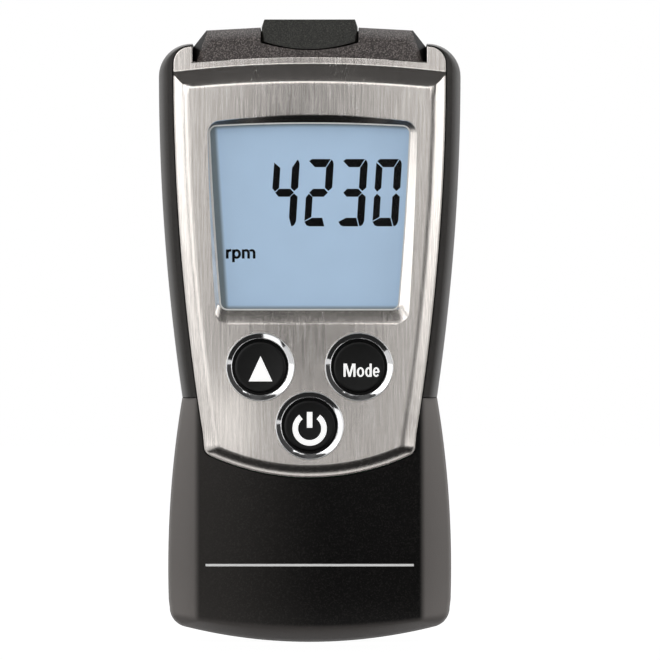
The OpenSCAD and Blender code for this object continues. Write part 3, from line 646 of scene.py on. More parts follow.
@dataclass(frozen=True)
class Brushed(Finish):
    """Sheet metal brushed along its height, with painted shade below an upper edge."""

    darker: Colour
    roughness: float = 0.24
    relief: float = 0.008
    painted_shade: Point = (0.0, 0.0)
    painted_shade_y: float = -10.78
    painted_shade_half: float = 17.0

    def wire(self, graph: Graph, surface: bpy.types.Node) -> None:
        """Feeds the surface shader.

        Args:
            graph: The material's graph.
            surface: Its surface shader.
        """
        fine = graph.noise(0.15, 3, 0.65, (1, 1, 0.035))
        broad = graph.noise(0.32, 2, 0.6, (1, 1, 0.03))
        cloud = graph.noise(7, 2, 0.5, (1, 1, 0.6))
        streaks = fine * 0.65 + broad * 0.35
        tone = graph.mix(streaks.above(0.5, 0.4) * 0.75 + cloud * 0.2, self.darker, self.colour)
        # painted shade: the top wall of the display recess is painted dark, as if in shade
        if self.painted_shade[1]:
            x, y, z = graph.axes()
            foot, top = self.painted_shade
            painted_shade = (y.above(self.painted_shade_y, 0.12) * z.above(foot, 0.6) * (-z).above(-top, 0.6)
                   * (-abs(x)).above(-self.painted_shade_half, 0.3))
            tone = graph.mix(painted_shade * 0.9, tone, scaled(self.darker, 0.12))
        self.feed(graph, surface, Base_Color=tone, Metallic=1.0,
                  Roughness=streaks * 0.16 + cloud * 0.08 + (self.roughness - 0.12),
                  Normal=graph.bump(streaks, self.relief))


@dataclass(frozen=True)
class Plated(Finish):
    """Bright plating with faint wear."""

    roughness: float = 0.08

    def wire(self, graph: Graph, surface: bpy.types.Node) -> None:
        """Feeds the surface shader.

        Args:
            graph: The material's graph.
            surface: Its surface shader.
        """
        haze = graph.noise(4, 2)
        tone = graph.mix(haze, self.colour, scaled(self.colour, 0.95))
        self.feed(graph, surface, Base_Color=tone, Metallic=1.0,
                  Roughness=haze * 0.04 + (self.roughness - 0.02))


@dataclass(frozen=True)
class Glossy(Finish):
    """Smooth glossy plastic with a faint orange-peel relief."""

    lighter: Colour
    roughness: float = 0.22
    coat: float = 0.0
    gloss: float = 0.5

    def wire(self, graph: Graph, surface: bpy.types.Node) -> None:
        """Feeds the surface shader.

        Args:
            graph: The material's graph.
            surface: Its surface shader.
        """
        peel = graph.noise(0.7, 2)
        dust = graph.noise(0.16, 2, 0.6).above(0.62, 0.12)
        tone = graph.mix(peel * 0.4 + dust * 0.35, self.colour, self.lighter)
        self.feed(graph, surface, Base_Color=tone, Coat_Weight=self.coat,
                  Specular_IOR_Level=self.gloss,
                  Roughness=dust * 0.12 + (self.roughness - 0.03),
                  Normal=graph.bump(peel, 0.004))


@dataclass(frozen=True)
class Printed(Finish):
    """Thin screen print with slightly uneven cover, and an optional glow that is painted light."""

    glow: float = 0.0
    gloss: float = 0.5

    def wire(self, graph: Graph, surface: bpy.types.Node) -> None:
        """Feeds the surface shader.

        Args:
            graph: The material's graph.
            surface: Its surface shader.
        """
        cover = graph.noise(0.25, 3, 0.6)
        tone = graph.mix(cover, self.colour, scaled(self.colour, 0.86))
        # painted light: the print glows though it is no lamp
        self.feed(graph, surface, Base_Color=tone, Emission_Strength=self.glow,
                  Specular_IOR_Level=self.gloss, Roughness=cover * 0.2 + 0.4)
        if self.glow:
            self.feed(graph, surface, Emission_Color=tone)


@dataclass(frozen=True)
class Lit(Finish):
    """Liquid crystal field lit from behind, a little darker towards its edges, with painted shadow
    of the recess rim along its left, top and lower edges.
    """

    edge: Colour
    middle: Point
    half: Point
    shade: Colour = (0.115, 0.14, 0.145)
    shade_width: float = 0.7
    top_edge: float = 78.55
    bow: float = 0.0019
    left_edge: float = 9.3
    draw: float = 0.0635
    foot_edge: float = -51.0
    glow: float = 0.4

    def wire(self, graph: Graph, surface: bpy.types.Node) -> None:
        """Feeds the surface shader.

        Args:
            graph: The material's graph.
            surface: Its surface shader.
        """
        x, _, z = graph.axes()
        across = (x - self.middle[0]) * (1 / self.half[0])
        along = (z - self.middle[1]) * (1 / self.half[1])
        far = across * across * 0.5 + along * along * 0.5
        cloud = graph.noise(5, 2)
        tone = graph.mix(far.above(0.65, 1.0) * 0.5 + cloud * 0.2, self.colour, self.edge)
        # painted shadow: strips along the left, top and lower edges are darkened as if shaded by
        # the recess rim
        for run, edge in ((-x - z * self.draw, self.left_edge),
                          (z + x * x * self.bow, self.top_edge), (-z, self.foot_edge)):
            tone = graph.mix(run.above(edge, self.shade_width) * 0.9, tone, self.shade)
        self.feed(graph, surface, Base_Color=tone, Emission_Color=tone,
                  Emission_Strength=self.glow, Roughness=cloud * 0.1 + 0.3)


@dataclass(frozen=True)
class Clear(Finish):
    """Clear sheet that lets what is behind it show."""

    alpha: float
    roughness: float = 0.05

    def wire(self, graph: Graph, surface: bpy.types.Node) -> None:
        """Feeds the surface shader.

        Args:
            graph: The material's graph.
            surface: Its surface shader.
        """
        smear = graph.noise(4, 3)
        self.feed(graph, surface, Base_Color=self.colour, Roughness=smear * 0.06 + self.roughness,
                  Alpha=smear * 0.5 * self.alpha + 0.75 * self.alpha)


@dataclass(frozen=True)
class Rubbery(Finish):
    """Soft matt rubber or foam."""

    cell: float = 0.3

    def wire(self, graph: Graph, surface: bpy.types.Node) -> None:
        """Feeds the surface shader.

        Args:
            graph: The material's graph.
            surface: Its surface shader.
        """
        pores = graph.noise(self.cell, 3, 0.7)
        tone = graph.mix(pores, self.colour, scaled(self.colour, 1.35))
        self.feed(graph, surface, Base_Color=tone, Roughness=pores * 0.2 + 0.65,
                  Normal=graph.bump(pores, 0.03))


@dataclass(frozen=True)
class Laminate(Finish):
    """Circuit board with a weave under its mask and plain copper tracks."""

    track: Colour
    pitch: float = 1.27

    def wire(self, graph: Graph, surface: bpy.types.Node) -> None:
        """Feeds the surface shader.

        Args:
            graph: The material's graph.
            surface: Its surface shader.
        """
        node = graph.node("ShaderNodeTexBrick", {"offset": 0.5}, {
            "Vector": graph.place((1, 1, 1)), "Scale": 1 / self.pitch, "Mortar Size": 0.09,
            "Mortar Smooth": 0.3})
        tracks = Value(graph, node.outputs["Fac"])
        weave = graph.noise(0.4, 2)
        tone = graph.mix(tracks * 0.55 + weave * 0.2, self.colour, self.track)
        self.feed(graph, surface, Base_Color=tone, Roughness=weave * 0.15 + 0.28,
                  Normal=graph.bump(tracks, 0.02))


@dataclass(frozen=True)
class Finishes:
    """Every finish on the instrument."""

    housing: Finish = Moulded("housing_plastic", (0.020, 0.0175, 0.0155), (0.050, 0.044, 0.039),
                              0.48, 0.22, 0.03)
    # the cover's lighter left side and facets are painted light
    cover: Finish = Faceted("cover_plastic", (0.0016, 0.0013, 0.0012), (0.046, 0.042, 0.039),
                            (0.205, 0.19, 0.18), (0.105, 0.095, 0.09))
    # the head's ends take painted shade
    head: Finish = Moulded("head_plastic", (0.018, 0.014, 0.013), (0.115, 0.098, 0.092),
                           0.5, 0.26, 0.05, 0.8, 48.98)
    shroud: Finish = Moulded("shroud_plastic", (0.008, 0.008, 0.0065), (0.045, 0.045, 0.038),
                             0.5, 0.24, 0.05, 0.5)
    # the metal face carries painted shade on the top wall of the display recess
    metal: Finish = Brushed("face_metal", (0.90, 0.855, 0.815), (0.60, 0.56, 0.525),
                            painted_shade=(78.0, 81.5))
    chrome: Finish = Plated("ring_chrome", (0.90, 0.90, 0.91), 0.06)
    satin: Finish = Plated("ring_chrome", (0.93, 0.93, 0.93), 0.42)
    key: Finish = Glossy("key_plastic", (0.003, 0.003, 0.003), (0.010, 0.010, 0.010),
                         0.34, 0.0, 0.3)
    # the white prints and the cover line glow: painted light
    white_print: Finish = Printed("key_plastic", (0.85, 0.85, 0.84), 0.75)
    stripe: Finish = Printed("cover_plastic", (0.80, 0.80, 0.79), 0.3)
    ink: Finish = Printed("display_glass", (0.0015, 0.0015, 0.002), 0.0, 0.12)
    # rim is a near-white lip that paints the highlight on the display opening's edge
    rim: Finish = Glossy("clear_window", (0.93, 0.94, 0.93), (0.97, 0.98, 0.97), 0.3)
    window: Finish = Clear("clear_window", (0.01, 0.012, 0.015), 0.06)
    filter: Finish = Glossy("filter_window", (0.030, 0.004, 0.006), (0.055, 0.010, 0.014),
                            0.08, 0.6)
    lens: Finish = Clear("clear_lens", (0.9, 0.95, 1.0), 0.3)
    inner_black: Finish = Moulded("inner_black", (0.012, 0.012, 0.013), (0.03, 0.03, 0.032))
    emitter: Finish = Glossy("emitter_epoxy", (0.42, 0.03, 0.02), (0.6, 0.08, 0.06), 0.12, 0.4)
    receiver: Finish = Glossy("receiver_epoxy", (0.01, 0.01, 0.014), (0.03, 0.03, 0.04), 0.12, 0.4)
    board: Finish = Laminate("circuit_board", (0.012, 0.105, 0.045), (0.06, 0.24, 0.10))
    pins: Finish = Plated("gold_pins", (0.78, 0.58, 0.24), 0.2)
    foam: Finish = Rubbery("foam_rubber", (0.012, 0.012, 0.012))
    guide: Finish = Glossy("light_guide", (0.72, 0.78, 0.82), (0.85, 0.88, 0.9))
    frame_plastic: Finish = Moulded("white_plastic", (0.62, 0.60, 0.55), (0.74, 0.72, 0.67),
                                    0.5, 0.3, 0.01)
    strips: Finish = Rubbery("strip_rubber", (0.42, 0.40, 0.36), 0.15)
    chip: Finish = Moulded("chip_plastic", (0.010, 0.010, 0.011), (0.03, 0.03, 0.032), 0.6, 0.12)
    can: Finish = Brushed("steel_can", (0.62, 0.63, 0.64), (0.45, 0.46, 0.47), 0.28)
    screw: Finish = Brushed("steel_screw", (0.34, 0.34, 0.35), (0.16, 0.16, 0.17), 0.35)
    mat: Finish = Rubbery("mat_rubber", (0.07, 0.073, 0.078))
    spring: Finish = Plated("spring_steel", (0.72, 0.72, 0.73), 0.2)
    sleeve: Finish = Glossy("cell_sleeve", (0.020, 0.09, 0.17), (0.05, 0.16, 0.27), 0.25, 0.2)
    contact: Finish = Plated("contact_brass", (0.72, 0.66, 0.48), 0.25)


FINISHES = Finishes()


# ---------------------------------------------------------------- the instrument


class Cad:
    """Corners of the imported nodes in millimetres."""

    @staticmethod
    def low(node: str) -> Vector:
        """Lowest corner of a node."""
        return Vector(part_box(node)[0]) / MM

    @staticmethod
    def high(node: str) -> Vector:
        """Highest corner of a node."""
        return Vector(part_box(node)[1]) / MM

    @classmethod
    def middle(cls, node: str) -> Vector:
        """Middle of a node's box."""
        return (cls.low(node) + cls.high(node)) / 2


@dataclass
class Body:
    """Outline of the waisted housing, shared by the shells."""

    shoulder: float = 46.0
    waist: float = 38.8
    foot: float = 43.1
    shoulder_z: float = 91.1
    shoulder_tan_z: float = 86.5
    foot_tan_z: float = 11.5
    waist_z: float = 37.2
    foot_arc: float = 78.0
    foot_corner: float = 3.0
    shoulder_corner: float = 5.0
    back_round: float = 3.5
    least: float = 0.35
    steps: int = 26

    def upper_x(self, z: float) -> float:
        """Half width above the waist."""
        drawn = max(0.0, self.shoulder_tan_z - z) / (self.shoulder_tan_z - self.waist_z)
        return self.shoulder / 2 - (self.shoulder - self.waist) / 2 * drawn ** 2

    def lower_x(self, z: float) -> float:
        """Half width below the waist."""
        drawn = (z - self.foot_tan_z) / (self.waist_z - self.foot_tan_z)
        return self.foot / 2 - (self.foot - self.waist) / 2 * drawn ** 2

    def lower_half(self, inset: float) -> Outline:
        """Right half of the outline up to the waist, drawn in by an inset.

        Args:
            inset: How far it is drawn in.

        Returns:
            The points from the foot upwards.
        """
        wall_x = self.lower_x(self.foot_corner) - inset
        corner = max(self.foot_corner - inset, self.least)
        run = foot_run(inset, self.foot_arc - inset, corner, wall_x)
        return run + side_run(self.lower_x, inset, run[-1][1], self.waist_z, self.steps)

    def whole(self, inset: float, top_share: float = 1.0) -> Outline:
        """Whole outline drawn in by an inset.

        Args:
            inset: How far it is drawn in.
            top_share: The share of the inset that the top takes.

        Returns:
            The closed outline.
        """
        corner = max(self.shoulder_corner - inset, self.least)
        end = self.shoulder_z - inset * top_share - corner
        return both_sides(
            self.lower_half(inset) + side_run(self.upper_x, inset, self.waist_z, end, self.steps)
            + arc((self.upper_x(end) - inset - corner, end), corner, 0, 90, 12, 1))

    def rounded_back(self, back: float, inset: float = 0.0, first: int = 0) -> list[Section]:
        """Sections of the rounded edge along the back, from the side to the back face.

        Args:
            back: Depth of the back face.
            inset: How far the form is drawn in.
            first: Number of the first of the 13 sections.

        Returns:
            The sections in order.
        """
        radius = self.back_round - inset
        return [(back - inset - radius * (1 - math.sin(a)),
                 self.whole(inset + radius * (1 - math.cos(a)))) for a in turns(0, 90, 12, first)]


@dataclass
class Face:
    """Outline of the metal face."""

    width: float = 41.4
    foot_width: float = 32.1
    tan_z: float = 88.0
    foot_tan_z: float = 30.7
    foot_z: float = 25.1
    foot_arc: float = 36.0
    corner: float = 1.6
    ear_z: float = 90.6
    ear_r: float = 2.6
    ear_step: float = 0.8
    notch_half: float = 17.8
    notch_mid_z: float = 89.0
    notch_end_z: float = 88.2
    steps: int = 30

    def side_x(self, z: float) -> float:
        """Half width at a height."""
        drawn = max(0.0, self.tan_z - z) / (self.tan_z - self.foot_tan_z)
        return self.width / 2 - (self.width - self.foot_width) / 2 * drawn ** 2

    def run(self, side: float, foot: float, corner: float, top_z: float) -> Outline:
        """Lower edge, lower corner and side up to a height.

        Args:
            side: How far the side is drawn in.
            foot: How far the lower edge is drawn in.
            corner: Radius of the lower corner.
            top_z: Height at which the side ends.

        Returns:
            The points from the middle line outwards and up.
        """
        run = foot_run(self.foot_z + foot, self.foot_arc - foot, corner,
                       self.side_x(self.foot_tan_z) - side)
        return run + side_run(self.side_x, side, run[-1][1], top_z, self.steps)

    @staticmethod
    def bowed(end_x: float, end_z: float, mid_z: float, steps: int = 20) -> Outline:
        """Bowed upper edge from its end to the middle line."""
        places = [end_x * (1 - t) for t in shares(steps, 1)]
        return [(x, mid_z - (mid_z - end_z) * (x / end_x) ** 2) for x in places]

    def sheet(self, grow: float = 0.0) -> Outline:
        """Base sheet with its ears and its notch, grown by a gap.

        Args:
            grow: The gap by which it is grown.

        Returns:
            The closed outline.
        """
        corner = (self.width / 2 - self.ear_r, self.ear_z - self.ear_r)
        notch = self.notch_half - grow
        return both_sides(
            self.run(-grow, -grow, self.corner + grow, corner[1] - self.ear_step)
            + arc(corner, self.ear_r + grow, 0, 90, 10)
            + [(notch, self.ear_z + grow), (notch, self.notch_end_z + grow)]
            + self.bowed(notch, self.notch_end_z + grow, self.notch_mid_z + grow))

    def raised(self, side: float, foot: float, corner: float, end_z: float,
               mid_z: float) -> Outline:
        """Raised part, drawn in at its sides and foot, with a bowed upper edge."""
        return both_sides(self.run(side, foot, corner, end_z)
                          + self.bowed(self.side_x(end_z) - side, end_z, mid_z))


@dataclass
class Aperture:
    """Four-cornered display outline with a bowed upper edge."""

    top: float
    foot: float
    foot_z: float
    top_z: float
    bow: float
    corner: float
    shift: float
    bulge: float = 0.15

    def outline(self, grow: float = 0.0, steps: int = 18) -> Outline:
        """The closed outline, grown by a gap.

        Args:
            grow: The gap by which it is grown.
            steps: Number of steps in each half of the upper edge.

        Returns:
            The closed outline.
        """
        r = self.corner + grow
        half, foot_half = self.top / 2 + grow, self.foot / 2 + grow
        z0, z1 = self.foot_z - grow, self.top_z + grow
        side = z1 - self.bow - r
        flat = half - r
        bowed = [(flat * (1 - i / steps), z1 - self.bow * (1 - i / steps) ** 2)
                 for i in range(1, 2 * steps)]
        wall = [(foot_half + (half - foot_half) * t + 4 * self.bulge * t * (1 - t),
                 z0 + r + (side - z0 - r) * t) for t in shares(8)[1:-1]]
        points = (arc((foot_half - r, z0 + r), r, -90, 0, 8) + wall
                  + arc((flat, side), r, 0, 90, 8) + bowed + arc((-flat, side), r, 90, 180, 8)
                  + [(-x, z) for x, z in reversed(wall)]
                  + arc((r - foot_half, z0 + r), r, 180, 270, 8))
        return [(x + self.shift, z) for x, z in points]


@dataclass
class Depths:
    """Depths of the front pieces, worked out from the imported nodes."""

    face: float = field(init=False)
    bevel: float = field(init=False)
    sheet: float = field(init=False)
    cover: float = field(init=False)
    parting: float = -1.0
    back: float = field(init=False)
    bevel_height: float = 1.2
    sheet_height: float = 1.3

    def __post_init__(self) -> None:
        """Reads the depths off the nodes."""
        self.face = Cad.low("front_plate").y
        self.bevel = self.face + self.bevel_height
        self.cover = Cad.low("lower_front_cover").y
        self.sheet = self.bevel + self.sheet_height
        self.back = Cad.high("rear_housing").y


@dataclass
class Housing:
    """The rear housing: back, side strips and shoulders."""

    body: Body
    face: Face
    depths: Depths
    strip_depth: float = 6.0
    strip_width: float = 1.45
    strip_top_share: float = 0.3
    wall: float = 1.9
    fit: float = 0.15
    seam: float = 0.12
    screw_x: float = 15.6
    screw_heights: tuple[float, float] = (13.5, 47.6)
    bore: float = 2.0
    bore_depth: float = 6.0
    well_wall: float = 0.8
    well_cover: float = 1.0
    seat_bore: float = 1.0
    seat_depth: float = 1.2
    door_half: float = 12.5
    door_depth: float = 1.5
    door_top_z: float = 53.7
    head_half: float = 17.7
    head_back: float = 8.6

    def shell(self, inset: float) -> Shape:
        """Outer form drawn in by an inset, rounded along its front and its back.

        Args:
            inset: How far it is drawn in.

        Returns:
            The solid form.
        """
        front = [(self.depths.bevel - inset + self.strip_depth * (1 - math.cos(a)),
                  self.body.whole(self.strip_width * (1 - math.sin(a)) + inset,
                                  self.strip_top_share if not inset else 1))
                 for a in turns(0, 90, 12)]
        return Shape().loft(front + self.body.rounded_back(self.depths.back, inset))

    def build(self) -> None:
        """Builds and dresses the housing."""
        far = self.body.shoulder
        waist = self.body.waist_z + self.seam / 2
        shell = self.shell(0)
        shell.carve(
            Shape().box((-far, -far, -far), (far, self.depths.parting + self.seam / 2, waist)),
            self.shell(self.wall),
            Shape().slab(self.depths.bevel - OVER, self.depths.sheet + self.fit / 2,
                         self.face.sheet(self.fit)),
            Shape().box((-self.head_half - self.fit, self.depths.bevel - OVER,
                         self.body.shoulder_z - self.wall - OVER),
                        (self.head_half + self.fit, self.head_back + self.fit, 2 * far)),
            Shape().box((-self.door_half - self.fit, self.depths.back - self.door_depth, -far),
                        (self.door_half + self.fit, far, self.door_top_z + self.fit)))
        start, end = self.depths.back - 2 * self.bore_depth, self.depths.back + OVER
        bore = [(0, start), (self.bore, start), (self.bore, end), (0, end)]
        for z in self.screw_heights:
            shell.carve(Shape().turned(bore, (self.screw_x, z), 48).mirrored())
        shell.finish("housing_shell", FINISHES.housing, replaces=["rear_housing"])
        self.build_wells()

    def build_wells(self) -> None:
        """Builds the screw wells behind the counterbores."""
        wells = Shape()
        top, foot = self.depths.back - self.well_cover, self.depths.back - self.bore_depth
        inner, outer, seat = self.bore + 0.02, self.bore + self.well_wall, foot - self.seat_depth
        for z in self.screw_heights:
            wells.turned([(inner, top), (outer, top), (outer, seat), (self.seat_bore, seat),
                          (self.seat_bore, foot), (inner, foot)], (self.screw_x, z), 48,
                         closed=True)
        wells.mirrored().finish("screw_wells", FINISHES.housing)


@dataclass
class LowerCover:
    """The dark lower front with its side facets and its foot facet."""

    body: Body
    face: Face
    depths: Depths
    flat_half: float = 17.3
    flat_draw: float = 0.3
    crease_z: float = 2.25
    facet_depth: float = 3.1
    facet_bend: float = 1.45
    round_depth: float = 1.5
    round_width: float = 0.35
    wall: float = 1.8
    fit: float = 0.15
    seam: float = 0.12
    stripe_z: float = 11.8
    stripe_height: float = 0.36
    stripe_half: float = 15.8
    print_height: float = 0.03

    def flat(self, inset: float) -> Outline:
        """Flat front, drawn in by an inset.

        Args:
            inset: How far it is drawn in.

        Returns:
            The closed outline.
        """
        wall_x, foot_z = self.flat_half - inset, self.crease_z + inset
        run = foot_run(foot_z, self.body.foot_arc + 2 * self.flat_half,
                       self.body.foot_corner / 2, wall_x)
        start = run[-1][1]
        return both_sides(run + [
            (wall_x - self.flat_draw * t * t, start + (self.body.waist_z - start) * t)
            for t in shares(self.body.steps, 1)])

    def form(self, inset: float) -> Shape:
        """Outer form drawn in by an inset, with softly rounded creases.

        Args:
            inset: How far it is drawn in.

        Returns:
            The solid form.
        """
        flat, side = self.flat(inset), both_sides(self.body.lower_half(self.round_width + inset))
        front = self.depths.cover + inset
        facet = [(front + self.facet_depth * t ** self.facet_bend, between(flat, side, t))
                 for t in shares(12)]
        turn = [(front + self.facet_depth + self.round_depth * math.sin(a),
                 both_sides(self.body.lower_half(inset + self.round_width * (1 - math.sin(a)))))
                for a in turns(0, 90, 4, 1)]
        end = (self.depths.parting - self.seam / 2 + (OVER if inset else 0),
               both_sides(self.body.lower_half(inset)))
        return Shape().loft(facet + turn + [end])

    def build(self) -> None:
        """Builds and dresses the cover and its printed line."""
        cover = self.form(0)
        cover.carve(
            self.form(self.wall),
            Shape().slab(self.depths.cover - OVER, self.depths.parting + OVER,
                         self.face.sheet(self.fit)))
        cover.trim_above(self.body.waist_z - self.seam / 2)
        cover.finish("lower_cover", FINISHES.cover, replaces=["lower_front_cover"])
        half, front = self.stripe_height / 2, self.depths.cover
        Shape().box(
            (-self.stripe_half, front - self.print_height, self.stripe_z - half),
            (self.stripe_half, front + self.print_height, self.stripe_z + half)
        ).finish("cover_line", FINISHES.stripe)


@dataclass
class MetalFace:
    """The brushed metal face with its ears, its display recess and its key holes."""

    face: Face
    depths: Depths
    side_bevel: float = 2.4
    foot_bevel: float = 1.9
    crease_corner: float = 0.4
    ridge: Point = (86.65, 87.9)
    crease: Point = (84.3, 85.2)
    line: float = 0.38
    line_depth: float = 0.05
    lap: float = 0.03
    edge: float = 0.18
    sunk: float = 0.02
    side_rise: float = 0.72
    bend: float = 1.9
    rim: float = 0.2
    top_bend: float = 1.2
    crowding: float = 1.6
    recess_depth: float = 0.9
    scoop: float = 0.66
    scoop_bend: float = 0.85
    recess: Aperture = field(default_factory=lambda: Aperture(
        31.8, 29.4, 48.2, 80.2, 0.9, 2.0, 0.4))
    opening: Aperture = field(default_factory=lambda: Aperture(
        30.2, 26.9, 50.7, 78.8, 0.4, 1.0, 0.0))
    lip: float = 0.22
    lip_depth: float = 0.1
    hole: float = 4.8

    def blend(self, side: float, top: float, line: float = 0.0, rim: float = 0.0) -> Outline:
        """Outline of the raised part between its foot (0) and the flat front (1).

        Args:
            side: Share at the sides and the lower edge.
            top: Share at the upper edge.
            line: How far the upper edge is moved down.
            rim: Width of the flat rim outside the sides and the lower edge.

        Returns:
            The closed outline.
        """
        lap = self.lap + rim
        return self.face.raised(
            lap + (self.side_bevel - lap) * side,
            lap + (self.foot_bevel - lap) * side,
            self.face.corner + (self.crease_corner - self.face.corner) * side,
            self.ridge[0] + (self.crease[0] - self.ridge[0]) * top - line,
            self.ridge[1] + (self.crease[1] - self.ridge[1]) * top - line)

    def scooped(self, share: float) -> Outline:
        """Outline of the recess at a share of its depth, its foot a gentle scoop.

        Args:
            share: The share of the depth.

        Returns:
            The closed outline.
        """
        edge, lip = self.recess.outline(), self.opening.outline(self.lip)
        middle = (self.recess.foot_z + self.recess.top_z) / 2
        foot = min(1.0, share / self.scoop) ** self.scoop_bend
        return [(a[0] + (b[0] - a[0]) * share,
                 a[1] + (b[1] - a[1]) * (foot if a[1] < middle else share))
                for a, b in zip(edge, lip)]

    def build(self, keys: Sequence[Point]) -> None:
        """Builds and dresses the metal face.

        Args:
            keys: Places of the key holes.
        """
        base = self.depths.bevel + self.sunk
        front = self.depths.face + self.line_depth
        rise = base - self.line_depth - front
        raised = [(self.depths.face, self.blend(1, 1, self.line, self.rim))]
        for share in sorted({self.side_rise, *(t ** self.crowding for t in shares(18))}):
            side = 1 - min(1.0, share / self.side_rise) ** (1 / self.bend)
            top = 1 - share ** (1 / self.top_bend)
            if share <= self.side_rise:
                raised.append((front + rise * share, self.blend(side, top, 0, self.rim)))
            if share >= self.side_rise:
                raised.append((front + rise * share + self.sunk / 2, self.blend(side, top)))
        raised += [(base, self.blend(0, 0, -self.line)),
                   ((base + self.depths.sheet) / 2, self.blend(0, 0, -self.line))]
        plate = Shape().loft(raised)
        plate.carve(Shape().loft([
            (self.depths.bevel, self.face.sheet(-self.edge)),
            (self.depths.bevel + 0.3 * self.edge, self.face.sheet(-0.3 * self.edge)),
            (self.depths.bevel + self.edge, self.face.sheet()),
            (self.depths.sheet, self.face.sheet())]), how=Carving.JOIN)
        floor = self.depths.face + self.recess_depth
        clear = self.opening.outline(self.sunk)
        plate.carve(Shape().loft([(self.depths.face - OVER, self.scooped(0))] + [
            (self.depths.face + self.recess_depth * share, self.scooped(share))
            for share in (0, 0.08, 0.2, 0.36, 0.52, self.scoop, 1)] + [
            (floor + self.lip_depth, self.opening.outline(self.lip)),
            (floor + self.lip_depth, clear), (self.depths.sheet + OVER, clear)]))
        start, end = self.depths.face - OVER, self.depths.sheet + OVER
        hole = [(0, start), (self.hole, start), (self.hole, end), (0, end)]
        for key in keys:
            plate.carve(Shape().turned(hole, key))
        plate.finish("metal_face", FINISHES.metal, replaces=["front_plate"], sharp=24)
        # painted highlight: a bright glossy lip stands in for the opening's metal edge catching
        # the light
        rim = Shape().slab(floor + self.sunk, floor + self.lip_depth,
                           self.opening.outline(self.lip))
        rim.carve(Shape().slab(floor - OVER, floor + OVER, self.opening.outline()))
        rim.finish("window_rim_painted_highlight", FINISHES.rim)


@dataclass
class SensorHead:
    """The hood, the shroud in its middle and the filter window on top."""

    depths: Depths
    width: float = 35.4
    foot_z: float = 85.0
    chamfer_z: float = 90.5
    corner_z: float = 93.05
    chamfer: float = 2.0
    top_z: float = 93.5
    face_chamfer: Point = (1.6, 2.2)
    setback: float = 0.2
    back: float = 8.6
    edge: float = 0.6
    shroud_half: float = 7.3
    shroud_top_half: float = 6.9
    shroud_mid_z: float = 90.15
    shroud_end_z: float = 91.3
    shroud_back: float = 6.4
    lean: float = 1.3
    total: float = field(default_factory=lambda: Cad.high("sensor_window").z)
    fit: float = 0.15
    window_half: Point = (5.7, 3.2)
    window_y: float = 1.2
    window_depth: float = 1.0
    facet_share: float = 0.91
    facet_start: float = 0.1
    lean_start: float = 0.15

    def outline(self, inset: float) -> Outline:
        """The hood seen from the front, drawn in by an inset.

        Args:
            inset: How far it is drawn in.

        Returns:
            The closed outline.
        """
        half = self.width / 2 - inset
        return both_sides([
            (half, self.foot_z), (half, self.chamfer_z - inset / 2),
            (half - self.chamfer + inset / 2, self.corner_z - inset),
            (self.shroud_half, self.top_z - inset)])

    def mouth(self, grow: float) -> Outline:
        """The shroud seen from the front, grown by a gap.

        Args:
            grow: The gap by which it is grown.

        Returns:
            The closed outline.
        """
        half = self.shroud_half + grow
        sag = self.shroud_end_z - self.shroud_mid_z
        lower = [(half * t, self.shroud_mid_z - grow + sag * t ** 2) for t in shares(16)]
        return both_sides(lower + [(half, self.top_z), (self.shroud_top_half + grow, self.total)])

    def build(self) -> None:
        """Builds and dresses the head."""
        front = self.depths.bevel + self.setback
        width, depth = self.face_chamfer
        hood = Shape().loft([
            (front, self.outline(width)), (front + self.edge, self.outline(width - self.edge)),
            (front + depth, self.outline(0)), (self.back - depth, self.outline(0)),
            (self.back, self.outline(width))])
        hood.carve(Shape().slab(front - OVER, self.shroud_back + self.fit, self.mouth(self.fit)))
        hood.finish("sensor_hood", FINISHES.head, replaces=["sensor_head"], sharp=20, rim=0.14)
        full = self.mouth(0)
        narrow = [(x * self.facet_share, z) for x, z in full]
        start, foot = front + self.facet_start, self.shroud_mid_z - OVER
        shroud = Shape().loft([(front - OVER, narrow), (start, narrow), (start + self.lean, full),
                               (self.shroud_back, full)])
        lean = Shape().slab(-self.shroud_half - OVER, self.shroud_half + OVER, [
            (front + self.lean_start, foot), (self.shroud_back, foot),
            (self.shroud_back, self.total), (front + self.lean, self.total)])
        bmesh.ops.rotate(lean.bm, verts=lean.bm.verts,
                         matrix=Matrix.Rotation(math.radians(90), 3, "Z"))
        bmesh.ops.scale(lean.bm, verts=lean.bm.verts, vec=(-1, 1, 1))
        lean.outward()
        shroud.carve(lean, how=Carving.KEEP)
        wide, deep = self.window_half
        shroud.carve(Shape().box(
            (-wide - self.fit, self.window_y - deep - self.fit, self.total - self.window_depth),
            (wide + self.fit, self.window_y + deep + self.fit, self.total + OVER)))
        shroud.finish("optics_shroud", FINISHES.shroud, replaces=["sensor_shroud"], sharp=20,
                      rim=0.12)
        pane = Shape().box((-wide, self.window_y - deep, self.total - self.window_depth),
                           (wide, self.window_y + deep, self.total))
        pane.finish("filter_pane", FINISHES.filter, replaces=["sensor_window"], rim=0.12)


